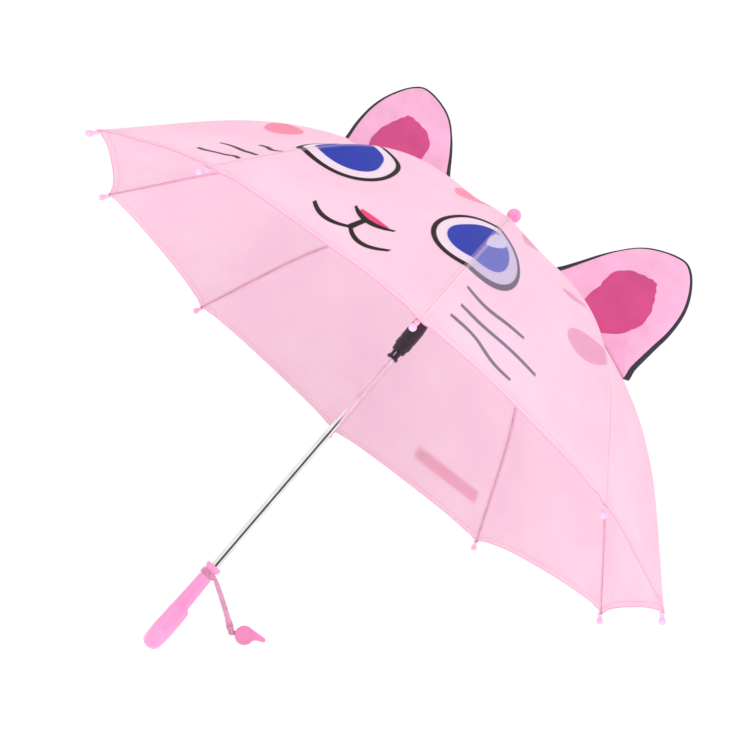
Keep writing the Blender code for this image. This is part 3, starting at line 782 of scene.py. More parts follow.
def build_gore(number):
    """One gore: its sheet with hem and seams, its UV maps and its material, in place of the CAD panel."""
    share, angle, seam, to_hem = gore_fields(number, SEAM_COLUMNS, HEM_ROWS)
    lift = LIFT + tension(share, angle, to_hem, number)
    near_tip = np.exp(-((DOME * (TIP_ANGLE - angle) / 0.012) ** 2))
    at_seam = np.exp(-((seam / 0.004) ** 2))
    lift += 0.0009 * near_tip * at_seam
    lift -= 0.00035 * np.exp(-((seam / 0.0012) ** 2))
    lift += 0.0004 * np.exp(-(((to_hem - 0.003) / 0.003) ** 2))
    doubled = np.clip((HEM_FOLD - to_hem) / 0.0006, 0, 1) * 0.0005
    doubled += np.clip((0.0030 - seam) / 0.0008, 0, 1) * 0.0004
    top = canopy_points(number, angle, share, lift)
    under = canopy_points(number, angle, share, lift - CLOTH - doubled)
    turn = rib_angle(number) + share * RIB_STEP + math.pi / 2
    from_top = np.degrees(angle)
    face = np.stack([from_top * np.sin(turn), from_top * np.cos(turn)], -1)
    radius = DOME * np.sin(angle)
    flat = np.stack([(share - 0.5) * RIB_STEP * radius, DOME * angle], -1)
    edges = np.stack([seam, to_hem], -1)
    mesh = shell(f"gore_{number:02d}", top, under, {"print": face, "cloth": flat, "edges": edges})
    material = {1: printed_cloth, 2: printed_cloth, 3: sheen_washed_print_cloth}.get(number, plain_cloth)
    gore = link(f"canopy_gore_{number:02d}", mesh, material)
    blended_weights(gore)
    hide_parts(f"canopy_panel_{number:02d}")


# ---------------------------------------------------------------- frame: ribs, stretchers, caps


def channel_ring(centre, outward, width, height):
    """Section of a folded steel channel, open on the inner side, with rolled lips."""
    half = width / 2
    wall, roll = 0.0004, 0.00015
    outline = [
        (-half, -height * 0.45),
        (-half, height * 0.30),
        (-half * 0.72, height * 0.50),
        (half * 0.72, height * 0.50),
        (half, height * 0.30),
        (half, -height * 0.45),
        (half - roll, -height * 0.50),
        (half - wall, -height * 0.40),
        (half - wall, height * 0.18),
        (half * 0.5, height * 0.50 - wall),
        (-half * 0.5, height * 0.50 - wall),
        (-half + wall, height * 0.18),
        (-half + wall, -height * 0.40),
        (-half + roll, -height * 0.50),
    ]
    return [centre + Vector((0, x, 0)) + outward * z for x, z in outline]


def eye_blade():
    """The flattened end of a channel, with its eye at the origin."""
    outline = arc((0, 0), EYE, 50, 310, 16) + [(BLADE, -0.0012), (BLADE, 0.0012)]
    blade = prism("blade", outline, 0.0012)
    return carve(blade, prism("drill", circle((0, 0), 0.0008, 20), 0.004))


def rib_mesh():
    """A sprung rib: folded channel, flattened eye at the crown, pressed lug for the stretcher."""
    start = PIVOT_ANGLE + 0.0045 / DOME
    end = TIP_ANGLE - 0.0012 / DOME
    rings = []
    steps = 72
    for step in range(steps + 1):
        angle = start + (end - start) * step / steps
        outward = Vector((math.sin(angle), 0, math.cos(angle)))
        taper = 1.0 - 0.22 * max(0.0, (step / steps - 0.72) / 0.28)
        width, height = 0.0020 * taper, 0.0022 * taper
        rings.append(channel_ring(rib_point(angle), outward, width, height))
    channel = skin("channel", rings)
    spot = Vector((lug.x - RING, 0, lug.z - PIVOT_Z))
    angle = math.atan2(lug.x, lug.z - CENTRE_Z)
    outward = Vector((math.sin(angle), 0, math.cos(angle)))
    facing = math.degrees(math.atan2(outward.z, outward.x))
    root = spot + outward * (LUG_DROP + 0.0004)
    step = Vector((outward.z, 0, -outward.x)) * EYE
    outline = arc((spot.x, spot.z), EYE, facing + 90, facing + 270, 14)
    outline += [(root.x + step.x, root.z + step.z), (root.x - step.x, root.z - step.z)]
    tab = prism("tab", outline, 0.0010)
    tab = carve(tab, prism("drill", circle((spot.x, spot.z), 0.00085, 20), 0.004))
    mesh = carve(carve(channel, eye_blade(), "UNION"), tab, "UNION")
    return mesh


def stretcher_mesh(length):
    """A straight channel with a forked end at the origin, a riveted pin, and an eye at its far end."""
    rings = []
    for x in np.linspace(0.0062, length - 0.0040, 40):
        centre = Vector((x, 0, 0))
        squeeze = min(1.0, (length - 0.0030 - x) / 0.006 + 0.45)
        rings.append(channel_ring(centre, Vector((0, 0, 1)), 0.0021 * squeeze, 0.0021))
    channel = skin("channel", rings)
    outline = arc((0, 0), EYE, 45, 315, 16) + [(0.0085, -0.0011), (0.0085, 0.0011)]
    fork = prism("fork", outline, 0.0032)
    fork = carve(fork, prism("gap", oblong(-0.004, 0.0034, -0.003, 0.003), 0.0016))
    head = []
    for y, radius in ((-0.0020, 0.0006), (-0.0018, 0.0010), (-0.00155, 0.00112), (-0.00155, 0.00055)):
        head.append([(x, y, z) for x, z in circle((0, 0), radius, 18)])
    tail = [[(x, -y, z) for x, y, z in ring] for ring in head[::-1]]
    rivet = skin("rivet", head + tail)
    blade = eye_blade()
    for vertex in blade.vertices:
        vertex.co.x = length - vertex.co.x
    blade.flip_normals()
    body = carve(carve(channel, fork, "UNION"), blade, "UNION")
    return carve(body, rivet, "UNION")


def cap_mesh():
    """A tip cap: ball, waist, collar bead, and the bore that the rib end sits in."""
    profile = [(0, -0.0006), (0.0015, -0.0006), (0.0015, -0.0092)]
    profile += [(0.0023, -0.0092), (0.0025, -0.0088), (0.0025, -0.0082), (0.0021, -0.0078)]
    profile += [(0.0019, -0.0066), (0.0020, -0.0048), (0.0026, -0.0034)]
    profile += arc((0, 0), CAP_BALL, -40, 90, 20)[:-1]
    profile.append((0, CAP_BALL))
    return turned("cap", profile, 36)


def build_frame_parts():
    """A rib, a stretcher and a tip cap for each of the ten places."""
    rib = rib_mesh()
    reach = Vector((lug.x - RING, 0, lug.z - PIVOT_Z))
    stretcher = stretcher_mesh(reach.length)
    cap = cap_mesh()
    slope = math.atan2(-reach.z, reach.x)
    at_lug = Matrix.Translation(reach) @ Matrix.Rotation(math.pi - slope, 4, "Y")
    run = rib_point(TIP_ANGLE) - rib_point(TIP_ANGLE - 0.009 / DOME)
    droop = math.atan2(-run.z, run.x)
    at_tip = Matrix.Translation(rib_point(TIP_ANGLE)) @ Matrix.Rotation(math.pi / 2 + droop, 4, "Y")
    for number in range(1, RIB_COUNT + 1):
        place = rib_matrix(number)
        parts = (
            (f"rib_{number:02d}", rib, steel, place, "rib_body", "frame_steel"),
            (f"stretcher_{number:02d}", stretcher, steel, place @ at_lug, "stretcher_body", "frame_steel"),
            (f"tip_cap_{number:02d}", cap, cap_pink, place @ at_tip, "rib_body", "tip_plastic"),
        )
        for node, mesh, material, matrix, body, slot in parts:
            own = mesh.copy()
            own.transform(matrix)
            ridden(f"{node}_made", own, material, f"{body}_{number:02d}", slot, node)


# ---------------------------------------------------------------- shaft, crown, runner, ferrule


def notched_head(height):
    """Outer profile of a head with a groove round it for a wire ring at this height."""
    outline = [(0.0067, -0.0024), (0.0105, -0.0024), (0.0105, -0.0007), (0.0083, -0.0007)]
    outline += [(0.0083, 0.0007), (0.0105, 0.0007), (0.0105, 0.0024)]
    return lifted(outline, height)


def slotted(mesh, height):
    """Cuts ten radial slots in a head, one for each rib."""
    for number in range(1, RIB_COUNT + 1):
        tool = prism("slot", oblong(0.0070, 0.0130, -0.004, 0.004), 0.0018)
        tool.transform(Matrix.Translation((0, 0, height)) @ Matrix.Rotation(rib_angle(number), 4, "Z"))
        mesh = carve(mesh, tool)
    return mesh


def build_shaft():
    """The chrome tube, the crown on it, the two wire rings and the spring catch."""
    low, high = shaft_low.z, shaft_high.z
    tube = turned("tube", rounded(oblong(0.0034, SHAFT, low, high), 0.0003, 3, closed=True), 72, closed=True)
    catch_low, catch_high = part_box("top_spring_catch")
    window = oblong(-0.001, 0.001, catch_low.z + 0.0165, catch_high.z + 0.0006)
    tool = prism("window", window, 0.003)
    tool.transform(Matrix.Translation((0, -0.0038, 0)))
    ridden("shaft_tube_made", carve(tube, tool), chrome, "root", "shaft_chrome", "shaft_tube")

    bore = SHAFT + 0.0003
    profile = [(bore, PIVOT_Z - 0.014), (0.0067, PIVOT_Z - 0.014)]
    profile += notched_head(PIVOT_Z) + [(bore, PIVOT_Z + 0.0024)]
    crown = turned("crown", rounded(profile, 0.0003, 2, closed=True), 60, closed=True)
    ridden("crown_made", slotted(crown, PIVOT_Z), black_plastic, "root", "black_plastic", "crown")

    for node, height, body in (("crown_wire", PIVOT_Z, "root"), ("runner_wire", RUNNER_RING, "runner_body")):
        ring = turned("wire", circle((RING, height), 0.0004, 12), 90, closed=True)
        ridden(f"{node}_made", ring, steel, body, "frame_steel", node)

    frame["nodes"]["top_spring_catch"].data.materials.clear()
    frame["nodes"]["top_spring_catch"].data.materials.append(steel)
    bevelled(frame["nodes"]["top_spring_catch"], 0.0002, 2)


def build_runner():
    """The runner: notched head, stepped barrel with a finger ring, slim neck and bottom flange."""
    foot = RUNNER_FOOT
    bore = SHAFT + 0.00025
    flange = [(bore, 0), (0.0062, 0), (0.0067, 0.0006), (0.0067, 0.0028)]
    neck = [(0.0054, 0.0034), (0.0052, 0.0060), (0.0053, 0.0095)]
    step = [(0.0076, 0.0104), (0.0080, 0.0120), (0.0082, 0.0165)]
    grip = [(0.0094, 0.0180), (0.0095, 0.0240), (0.0090, 0.0252), (0.0090, 0.0268)]
    barrel = [(0.0095, 0.0280), (0.0095, 0.0420), (0.0082, 0.0520), (0.0067, 0.0600)]
    profile = lifted(flange + neck + step + grip + barrel, foot)
    profile += notched_head(RUNNER_RING) + [(bore, RUNNER_RING + 0.0024)]
    runner = turned("runner", rounded(profile, 0.0004, 3, closed=True), 72, closed=True)
    runner = slotted(runner, RUNNER_RING)
    tool = prism("key", oblong(-0.0011, 0.0011, foot - 0.01, PIVOT_Z), 0.0059)
    tool.transform(Matrix.Translation((0, -0.00295, 0)))
    ridden("runner_made", carve(runner, tool), black_plastic, "runner_body", "black_plastic", "runner")


def build_ferrule():
    """The cap on top of the shaft: a collar, a stem and a ball."""
    base = PIVOT_Z + 0.0104
    ball = PIVOT_Z + 0.0327
    bore = SHAFT + 0.0003
    top = shaft_high.z + 0.001
    stem = [(0.0062, 0), (0.0065, 0.0004), (0.0065, 0.0026), (0.0060, 0.0034)]
    stem += [(0.0057, 0.0050), (0.0056, 0.0110), (0.0056, 0.0160)]
    profile = [(0, top), (bore, top), (bore, base)] + lifted(stem, base)
    profile += arc((0, ball), BALL, -44, 90, 26)[:-1]
    profile.append((0, ball + BALL))
    ferrule = turned("ferrule", profile, 56)
    ridden("ferrule_made", ferrule, ferrule_pink, "root", "handle_plastic", "ferrule_cap")


def build_rosette():
    """The gathered fabric washer under the ferrule."""

    def ruffle(radius, height, turn):
        out = max(0.0, (radius - 0.006) / 0.011)
        wave = math.sin(turn * 14 + 0.4 * math.sin(turn * 3)) * 0.0007 * out
        return radius * (1 + 0.035 * out * math.sin(turn * 7 + 1)), height + wave + 0.0004 * out

    inside = SHAFT + 0.0006
    outline = [(inside, 0), (0.0100, 0), (0.0165, 0.0001), (0.0170, 0.0005), (0.0165, 0.0010)]
    outline += [(0.0130, 0.0016), (0.0100, 0.0028), (0.0080, 0.0044), (0.0069, 0.0062)]
    outline += [(0.0060, 0.0066), (inside, 0.0066)]
    profile = lifted(outline, PIVOT_Z + 0.0036)
    mesh = turned("rosette", rounded(profile, 0.0005, 3, closed=True), 140, closed=True, wobble=ruffle)
    flat = np.array([v.co[:] for v in mesh.vertices])
    set_uv(mesh, "cloth", flat[:, :2])
    far = np.full((len(flat), 2), 0.02)
    set_uv(mesh, "edges", far)
    set_uv(mesh, "print", far)
    ridden("rosette_made", mesh, plain_cloth, "root", "canopy_fabric", "canopy_rosette")


# ---------------------------------------------------------------- handle


HOOK_TURN = 21.5
HOOK_BEND = 0.017
HOOK_LOW = 0.026


def build_handle():
    """The hook handle as one smooth moulding: collar, neck, flat-sided grip, and a wide hook."""
    turn = math.radians(HOOK_TURN)
    toward = Vector((math.sin(turn), -math.cos(turn), 0))
    aside = Vector((math.cos(turn), math.sin(turn), 0))
    up = Vector((0, 0, 1))
    top = HANDLE_TOP
    bend, low = HOOK_BEND, HOOK_LOW
    stations = [(0.0, 0.0080), (0.0002, 0.0085), (0.0008, 0.0088), (0.0028, 0.0088), (0.0038, 0.0086)]
    stations += [(0.0048, 0.0078), (0.0058, 0.0070), (0.0070, 0.0067), (0.0100, 0.0066), (0.0142, 0.0067)]
    stations += [(0.0152, 0.0070), (0.0164, 0.0073)]
    rings = []

    def add_ring(centre, level, half_depth, half_width, square=2.2):
        ring = []
        for i in range(48):
            a = 2 * math.pi * i / 48
            c, s = math.cos(a), math.sin(a)
            x = math.copysign(abs(c) ** (2 / square), c) * half_depth
            y = math.copysign(abs(s) ** (2 / square), s) * half_width
            ring.append(centre + level * x + aside * y)
        rings.append(ring)

    for drop, radius in stations:
        add_ring(up * (top - drop), toward, radius, radius, 2.0)
    grip_top, grip_low = top - 0.0180, low + 0.004
    for step in range(22):
        t = step / 21
        height = grip_top + (grip_low - grip_top) * t
        depth = 0.0074 + 0.0009 * t
        width = 0.0074 + 0.0019 * t**1.3
        add_ring(up * height, toward, depth, width, 2.0 + 0.3 * t)
    centre = toward * bend + up * low
    for step in range(29):
        a = math.pi * step / 28
        level = toward * math.cos(a) + up * math.sin(a)
        depth = 0.0084 + 0.0006 * math.sin(a)
        add_ring(centre - level * bend, level, depth, 0.0095 + 0.0009 * step / 28, 2.3)
    tip = centre + toward * bend
    for step in range(20):
        t = step / 19
        rise = 0.0035 + 0.0265 * t
        fade = math.sqrt(max(0.0, 1 - (max(0.0, t - 0.62) / 0.385) ** 2.4))
        add_ring(tip + up * rise, -toward, 0.0082 * fade, 0.0104 * (fade**0.7), 2.3)
    rings.append([tip + up * 0.0302])
    handle = skin("handle", rings)
    socket = [(0, shaft_low.z - 0.001), (SHAFT + 0.0003, shaft_low.z - 0.001)]
    socket += [(SHAFT + 0.0003, top + 0.01), (0, top + 0.01)]
    handle = carve(handle, turned("socket", socket, 64))
    ridden("handle_made", handle, gloss_pink, "root", "handle_plastic", "handle")


# ---------------------------------------------------------------- whistle and its strap


STRAP_START = Vector(joints["whistle_strap_tilt"]["pos_m"])
STRAP_END = Vector(joints["whistle_swing"]["pos_m"])
STRAP_OUT = Vector((STRAP_START.x, STRAP_START.y, 0)).normalized()


def build_whistle_strap():
    """The moulded strap: a loop round the neck of the handle, a waisted band and a forked head."""
    start, end, outward = STRAP_START, STRAP_END, STRAP_OUT
    aside = Vector((-outward.y, outward.x, 0))
    loop_low, loop_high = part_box("whistle_loop")
    band = oblong(0.0072, 0.0086, loop_low.z, loop_high.z)
    loop = turned("loop", rounded(band, 0.0005, 3, closed=True), 56, closed=True)

    run = end - start
    length = run.length
    heading = run.normalized()
    third = heading.cross(aside)
    rings = []
    for x in np.linspace(-0.0017, length - 0.0048, 64):
        knots = (0.0, 0.0025, 0.0085, length - 0.0150, length - 0.0100, length - 0.0052)
        half = float(np.interp(x, knots, (0.0021, 0.0022, 0.0026, 0.0028, 0.0036, 0.0038)))
        bow = third * (0.0008 * math.sin(math.pi * x / length))
        outline = []
        for i in range(24):
            a = 2 * math.pi * i / 24
            c, s = math.cos(a), math.sin(a)
            reach = math.copysign(abs(c) ** 0.6, c) * half
            bead = 0.0008 if abs(c) > 0.85 else 0.00056
            thick = math.copysign(abs(s) ** 0.7, s) * bead
            outline.append(start + heading * x + bow + third * reach + aside * thick)
        rings.append(outline)
    strip = skin("strip", rings)
    fork_outline = arc((0, 0), 0.0034, -110, 110, 24)
    fork_outline += [(-0.0062, 0.0036), (-0.0062, -0.0036)]
    fork = prism("fork", fork_outline, 0.0060)
    gap = prism("gap", oblong(-0.0037, 0.005, -0.005, 0.005), 0.0024)
    fork = carve(fork, gap)
    fork = carve(fork, prism("pin", circle((0, 0), 0.0010, 20), 0.0050), "UNION")
    fork.transform(set_on(end, heading, aside, third))
    strap = link("whistle_strap_made", joined("strap", [loop, strip, fork]), strap_vinyl)
    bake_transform(strap)
    away = np.array([(v.co - Vector((0, 0, v.co.z))).length for v in strap.data.vertices])
    weights = np.clip((away - 0.0090) / 0.006, 0, 1)
    weights = weights * weights * (3 - 2 * weights)
    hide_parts("whistle_loop", "whistle_strap")


def build_whistle():
    """The whistle: a round chamber with its ball, a mouthpiece, a window, and a tab for the strap."""
    up = Vector((0, 0, 1))
    lift = math.radians(26)
    ahead = STRAP_OUT * math.cos(lift) + up * math.sin(lift)
    rise = up * math.cos(lift) - STRAP_OUT * math.sin(lift)
    seat = set_on(STRAP_END + ahead * 0.014, ahead, rise.cross(ahead), rise)
    outline = arc((0, 0), 0.010, 84, 330, 48)
    outline += [(0.0102, -0.0032), (0.0125, -0.0024), (0.0150, -0.0021), (0.0205, -0.0024)]
    outline += arc((0.0206, 0), 0.0022, -75, 75, 8)
    outline += [(0.0150, 0.0046), (0.0080, 0.0073), (0.0040, 0.0091)]
    body = prism("body", outline, 0.0125)
    body = carve(body, prism("chamber", circle((0, 0), 0.0082, 40), 0.0096))
    body = carve(body, prism("windway", oblong(0.005, 0.03, 0.0002, 0.0014), 0.009))
    window = [(0.0035, 0.0008), (0.0085, 0.0008), (0.0070, 0.012), (0.0020, 0.012)]
    body = carve(body, prism("window", window, 0.009))
    tab = arc((-0.014, 0), 0.0023, 90, 270, 14) + [(-0.0088, -0.0023), (-0.0088, 0.0023)]
    body = carve(body, prism("tab", tab, 0.0018), "UNION")
    body = carve(body, prism("drill", circle((-0.014, 0), 0.0013, 20), 0.004))
    rim = turned("rim", oblong(0.0070, 0.0084, 0.0061, 0.0066), 48, closed=True)
    rim.transform(Matrix.Rotation(math.pi / 2, 4, "X"))
    body = carve(body, rim, "UNION")
    body.transform(seat)
    whistle = ridden("whistle_made", body, whistle_pink, "whistle_body", "whistle_plastic", "whistle")
    bevelled(whistle, 0.0005, 3, 40)
    pea = frame["nodes"]["whistle_pea"]
    pea.data.materials.clear()
    pea.data.materials.append(pea_cork)
    pea_smooth = pea.modifiers.new("round", "SUBSURF")
    pea_smooth.levels = pea_smooth.render_levels = 2


# ---------------------------------------------------------------- ears and closing strap

# Angles down from the top where an ear meets the canopy, at its inner and its outer end
EAR_BASE = (math.radians(9.3), math.radians(27.3))
# Outlines as (x, z) from the level of the tips, in shares of the rim radius
EAR_CURVE = (
    (0.217, 0.625), (0.242, 0.666), (0.270, 0.712), (0.300, 0.753), (0.330, 0.784), (0.362, 0.806),
    (0.400, 0.821), (0.435, 0.829), (0.464, 0.829), (0.487, 0.815), (0.508, 0.790), (0.527, 0.755),
    (0.540, 0.716), (0.545, 0.675), (0.544, 0.630), (0.538, 0.590), (0.532, 0.545), (0.527, 0.500),
)
EAR_PATCH = (
    (0.318, 0.550), (0.313, 0.579), (0.314, 0.620), (0.318, 0.665), (0.327, 0.695), (0.345, 0.715),
    (0.368, 0.730), (0.395, 0.739), (0.420, 0.744), (0.440, 0.744), (0.453, 0.730), (0.466, 0.705),
    (0.476, 0.680), (0.483, 0.650), (0.483, 0.620), (0.478, 0.595), (0.462, 0.570), (0.440, 0.550),
    (0.414, 0.534), (0.390, 0.523), (0.355, 0.530),
)
# How far the black back shows past the front, along the outline from its inner base
BACK_SHOWS = (
    (0.0, 0.0060), (0.13, 0.0034), (0.28, 0.0012), (0.45, 0.0020),
    (0.58, 0.0022), (0.72, 0.0032), (1.0, 0.0055),
)


def ear_outline(grow=False):
    """Closed outline (x, z) of the right ear; the base follows the canopy."""
    inner, outer = EAR_BASE
    radius = DOME + LIFT + 0.0002
    base = []
    for step in range(13):
        angle = outer + (inner - outer) * step / 12
        base.append((radius * math.sin(angle), CENTRE_Z + radius * math.cos(angle)))
    curve = [(RIM * x, TIP_Z + RIM * z) for x, z in EAR_CURVE]
    steer = [base[-2], base[-1], *curve, base[0], base[1]]
    points = [np.array(p) for p in base[:-1]] + smooth_curve(steer, 4)[:-1]
    points = np.array(points)
    if grow:
        ahead = np.roll(points, -1, 0) - np.roll(points, 1, 0)
        ahead /= np.linalg.norm(ahead, axis=1)[:, None]
        push = np.stack([-ahead[:, 1], ahead[:, 0]], 1)
        free = np.linalg.norm(np.diff(points[12:], axis=0), axis=1)
        along = np.concatenate([[0.0], np.cumsum(free)]) / free.sum()
        amount = np.zeros(len(points))
        amount[12:] = np.interp(along, *zip(*BACK_SHOWS))
        points = points + push * amount[:, None]
    return points


def pillow(name, outline, front, back, side, bulge, crease=0.0):
    """A closed flat form over an outline. front and back give its y at the rim, bulge its swell."""
    centre = outline.mean(0)
    rings = []
    levels = np.linspace(0.0, 1.0, 15)
    for level in levels:
        scale = 1 - (1 - level) ** 1.6
        ring = centre + (outline - centre) * scale
        dome = math.sqrt(max(0.0, 1 - scale**2))
        y = np.full(len(outline), front - bulge * dome)
        y += crease * np.sin(np.arange(len(outline)) * 0.9) * scale**2
        rings.append(np.stack([ring[:, 0] * side, y, ring[:, 1]], 1))
    points = [tuple(rings[0].mean(0))]
    count = len(outline)
    for ring in rings[1:]:
        points.extend(tuple(p) for p in ring)
    faces = [(0, 1 + i, 1 + (i + 1) % count) for i in range(count)]
    for level in range(len(rings) - 2):
        first = 1 + level * count
        for i in range(count):
            j = (i + 1) % count
            faces.append((first + i, first + j, first + count + j, first + count + i))
    rim = 1 + (len(rings) - 2) * count
    last = len(points)
    points.extend((x * side, back, z) for x, z in outline)
    points.append((centre[0] * side, back, centre[1]))
    for i in range(count):
        j = (i + 1) % count
        faces.append((rim + i, rim + j, last + j, last + i))
        faces.append((last + i, last + j, len(points) - 1))
    mesh = face_out(make_mesh(name, points, faces))
    flat = np.array(points)[:, [0, 2]]
    set_uv(mesh, "cloth", flat)
    return mesh


def piping(name, path, side, radius, y):
    """A sewn cord that follows a path of (x, z) points."""
    rings = []
    for i, (x, z) in enumerate(path):
        before = path[max(i - 1, 0)]
        after = path[min(i + 1, len(path) - 1)]
        ahead = Vector(((after[0] - before[0]) * side, 0, after[1] - before[1])).normalized()
        out = Vector((0, 1, 0)).cross(ahead)
        ring = []
        for k in range(10):
            a = 2 * math.pi * k / 10
            ring.append(Vector((x * side, y + radius * math.sin(a), z)) + out * radius * math.cos(a))
        rings.append(ring)
    mesh = skin(name, rings)
    flat = np.array([v.co[:] for v in mesh.vertices])[:, [0, 2]]
    set_uv(mesh, "cloth", flat)
    return mesh


def build_ears():
    """Each ear: a stuffed front, a dark back that shows round it, an inner patch and piping."""
    outline = ear_outline()
    wide = ear_outline(grow=True)
    patch = np.array(closed_curve([(RIM * x, TIP_Z + RIM * z) for x, z in EAR_PATCH], 6))
    for word, side, body in (("right", 1, "rib_body_05"), ("left", -1, "rib_body_10")):
        node = f"ear_{word}"
        front = pillow("ear", outline, -0.0008, 0.0006, side, 0.0030, 0.0002)
        back = pillow("ear_back", wide, 0.0008, 0.0048, side, 0.0)
        inner = pillow("ear_inner", patch, -0.0030, -0.0012, side, 0.0014)
        cord = piping("cord", wide[12:], side, 0.0008, 0.0010)
        ridden(f"{node}_front", front, ear_pink, body, "canopy_fabric", node)
        ridden(f"{node}_back", back, ear_black, body, "canopy_fabric")
        ridden(f"{node}_inner", inner, ear_inner_pink, body, "canopy_fabric")
        ridden(f"{node}_piping", cord, ear_black, body, "canopy_fabric")


def tape_mesh(name, panel, shares, angles, low, high, steps, sewn_down=0.0):
    """A strip of woven tape on a panel, with slightly raised edges, lower at its sewn end."""
    along = np.linspace(shares[0], shares[1], steps + 1)
    over = np.linspace(angles[0], angles[1], 9)
    share = np.repeat(along[:, None], 9, 1)
    angle = np.repeat(over[None, :], steps + 1, 0)
    ripple = 0.00025 * np.sin(along * 90)[:, None]
    ripple = ripple + 0.0002 * np.cos(np.linspace(0, 2 * math.pi, 9))[None, :]
    free = ((along - shares[0]) / (shares[1] - shares[0]))[:, None]
    curl = 0.0020 * free**3 - sewn_down * (1 - free)
    top = canopy_points(panel, angle, share, high + ripple + curl)
    under = canopy_points(panel, angle, share, low + ripple + curl)
    width = DOME * (angles[1] - angles[0])
    flat = np.stack([share * RIB_STEP * DOME * 0.8, DOME * angle], -1)
    edge = np.minimum(angle - angles[0], angles[1] - angle) * DOME
    ends = np.minimum(share - shares[0], shares[1] - share) * RIB_STEP * DOME * 0.8
    edges = np.stack([edge + 0.002, ends + 0.003], -1)
    return shell(name, top, under, {"cloth": flat, "edges": edges, "print": flat * 0 + width})


def build_closing_strap():
    """The hook-and-loop strap, sewn at one end to gore 7, and the pad under its free end."""
    body = "closing_strap_body"
    angles = (math.radians(52.0), math.radians(54.2))
    strap = tape_mesh("tie", 7, (0.08, 0.53), angles, 0.0043, 0.0051, 60, 0.0012)
    ridden("closing_strap_made", strap, tape_cloth, body, "canopy_fabric", "closing_strap")
    angles = (math.radians(52.3), math.radians(53.9))
    pad = tape_mesh("pad", 7, (0.455, 0.522), angles, 0.0066, 0.0074, 12)
    ridden("fastener_pad_made", pad, pad_cloth, body, "fastener_fabric", "strap_fastener_pad")


# ---------------------------------------------------------------- stage, light and camera


def build_stage():
    """A pale floor that fades out round the handle."""
    rings = [[(0, 0, -0.0006)]]
    for radius in (0.10, 0.20, 0.30):
        ring = [2 * math.pi * i / 96 for i in range(96)]
        rings.append([(radius * math.cos(a), radius * math.sin(a), -0.0006) for a in ring])
    points = [p for ring in rings for p in ring]
    faces = [(0, 1 + i, 1 + (i + 1) % 96) for i in range(96)]
    for k in range(2):
        first = 1 + k * 96
        for i in range(96):
            j = (i + 1) % 96
            faces.append((first + i, first + 96 + i, first + 96 + j, first + j))
    floor = link("floor", make_mesh("floor", points, faces), smooth=False)
    material, tree, shader = new_material("pale_floor")
    speck = noise(tree, object_coordinates(tree), 40.0, Detail=3.0)
    shade = ramp(tree, speck, ((0.3, (0.34, 0.34, 0.34)), (0.7, (0.37, 0.37, 0.37))))
    tree.links.new(shade, shader.inputs["Base Color"])
    dial(shader, Roughness=0.7, Emission_Color=(1, 1, 1, 1), Emission_Strength=0.80)
    distance = tree.nodes.new("ShaderNodeVectorMath")
    distance.operation = "LENGTH"
    tree.links.new(object_coordinates(tree), distance.inputs[0])
    fade = (Field(tree, distance.outputs["Value"]) * -1.0 + 0.28) / 0.16
    tree.links.new(fade.most(0.0).least(1.0).socket, shader.inputs["Alpha"])
    floor.data.materials.append(material)
    material.cycles.emission_sampling = "NONE"


def area_light(name, spot, target, size, power):
    """A round lamp that lights things without showing in their reflections."""
    lamp = bpy.data.lights.new(name, "AREA")
    lamp.shape = "DISK"
    lamp.size = size
    lamp.energy = power
    thing = bpy.data.objects.new(name, lamp)
    thing.visible_glossy = False
    thing.location = spot
    thing.rotation_euler = (Vector(target) - Vector(spot)).to_track_quat("-Z", "Y").to_euler()
    bpy.context.scene.collection.objects.link(thing)


# Dark flags round the room: azimuth and half width in degrees, and depth
FLAGS = ((-52.0, 33.0, 0.90), (98.0, 24.0, 0.40), (172.0, 10.0, 0.35))


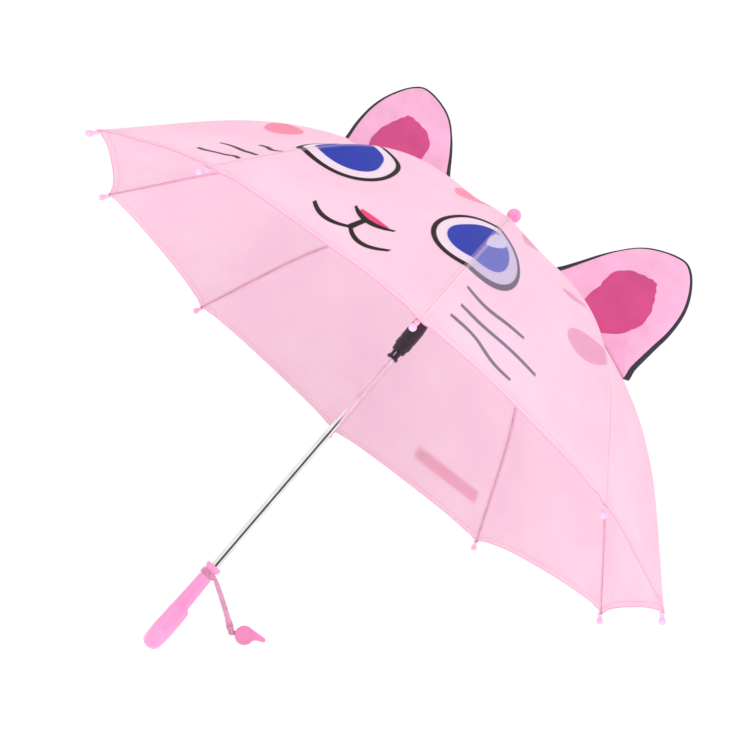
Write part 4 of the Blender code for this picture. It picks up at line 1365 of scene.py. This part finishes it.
def build_light():
    """A bright even room with three soft lamps."""
    world = bpy.data.worlds.new("studio")
    bpy.context.scene.world = world
    world.use_nodes = True
    # Without sampling the world as a lamp, each ray's own kind decides whether it meets the flags
    world.cycles.sampling_method = "NONE"
    tree = world.node_tree
    background = tree.nodes["Background"]
    path = tree.nodes.new("ShaderNodeLightPath")
    seen = Field(tree, path.outputs["Is Camera Ray"])
    mirrored = Field(tree, path.outputs["Is Glossy Ray"])
    # Dark flags stand in the bright room, so that chrome shows bands
    heading = tree.nodes.new("ShaderNodeSeparateXYZ")
    tree.links.new(tree.nodes.new("ShaderNodeTexCoord").outputs["Generated"], heading.inputs[0])
    turn = Field(tree, heading.outputs[1]).join("ARCTAN2", Field(tree, heading.outputs[0]))
    dark = turn * 0.0
    for centre, half, depth in FLAGS:
        flag = ((turn - math.radians(centre)).size() * -1.0 + math.radians(half)).covered(0.10)
        dark = dark.most(flag * depth)
    shade = mirrored * dark * -1.0 + 1.0
    strength = (seen * 0.06 + 0.96) * shade
    tree.links.new(strength.socket, background.inputs["Strength"])
    background.inputs["Color"].default_value = (1.0, 0.995, 1.0, 1.0)
    middle = (0, 0, TIP_Z)
    area_light("key", (0.5, -2.0, 0.9), middle, 1.2, 10.0)
    area_light("side", (2.1, -0.6, 0.5), middle, 1.0, 8.0)
    area_light("under", (0.4, -0.9, -0.9), middle, 1.0, 13.0)


def build_camera():
    """The photograph's view: from the front right, just below the rim, with the camera rolled."""
    data = bpy.data.cameras.new("camera")
    data.sensor_width = 36.0
    data.lens = 75.735
    camera = bpy.data.objects.new("camera", data)
    camera.location = (1.34211 * RIM, -4.00250 * RIM, TIP_Z - 0.75332 * RIM)
    ahead = Vector((-0.313437, 0.930392, 0.190073)).normalized()
    right = Vector((0.759736, 0.125610, 0.637984)).normalized()
    above = right.cross(ahead)
    camera.rotation_mode = "QUATERNION"
    camera.rotation_quaternion = Matrix((right, above, -ahead)).transposed().to_quaternion()
    bpy.context.scene.collection.objects.link(camera)
    bpy.context.scene.camera = camera


for gore_number in range(1, RIB_COUNT + 1):
    build_gore(gore_number)
build_frame_parts()
build_shaft()
build_runner()
build_ferrule()
build_rosette()
build_handle()
build_whistle_strap()
build_whistle()
build_ears()
build_closing_strap()
build_stage()
build_light()
build_camera()
bpy.context.scene.view_settings.view_transform = "Standard"

bpy.context.view_layer.update()
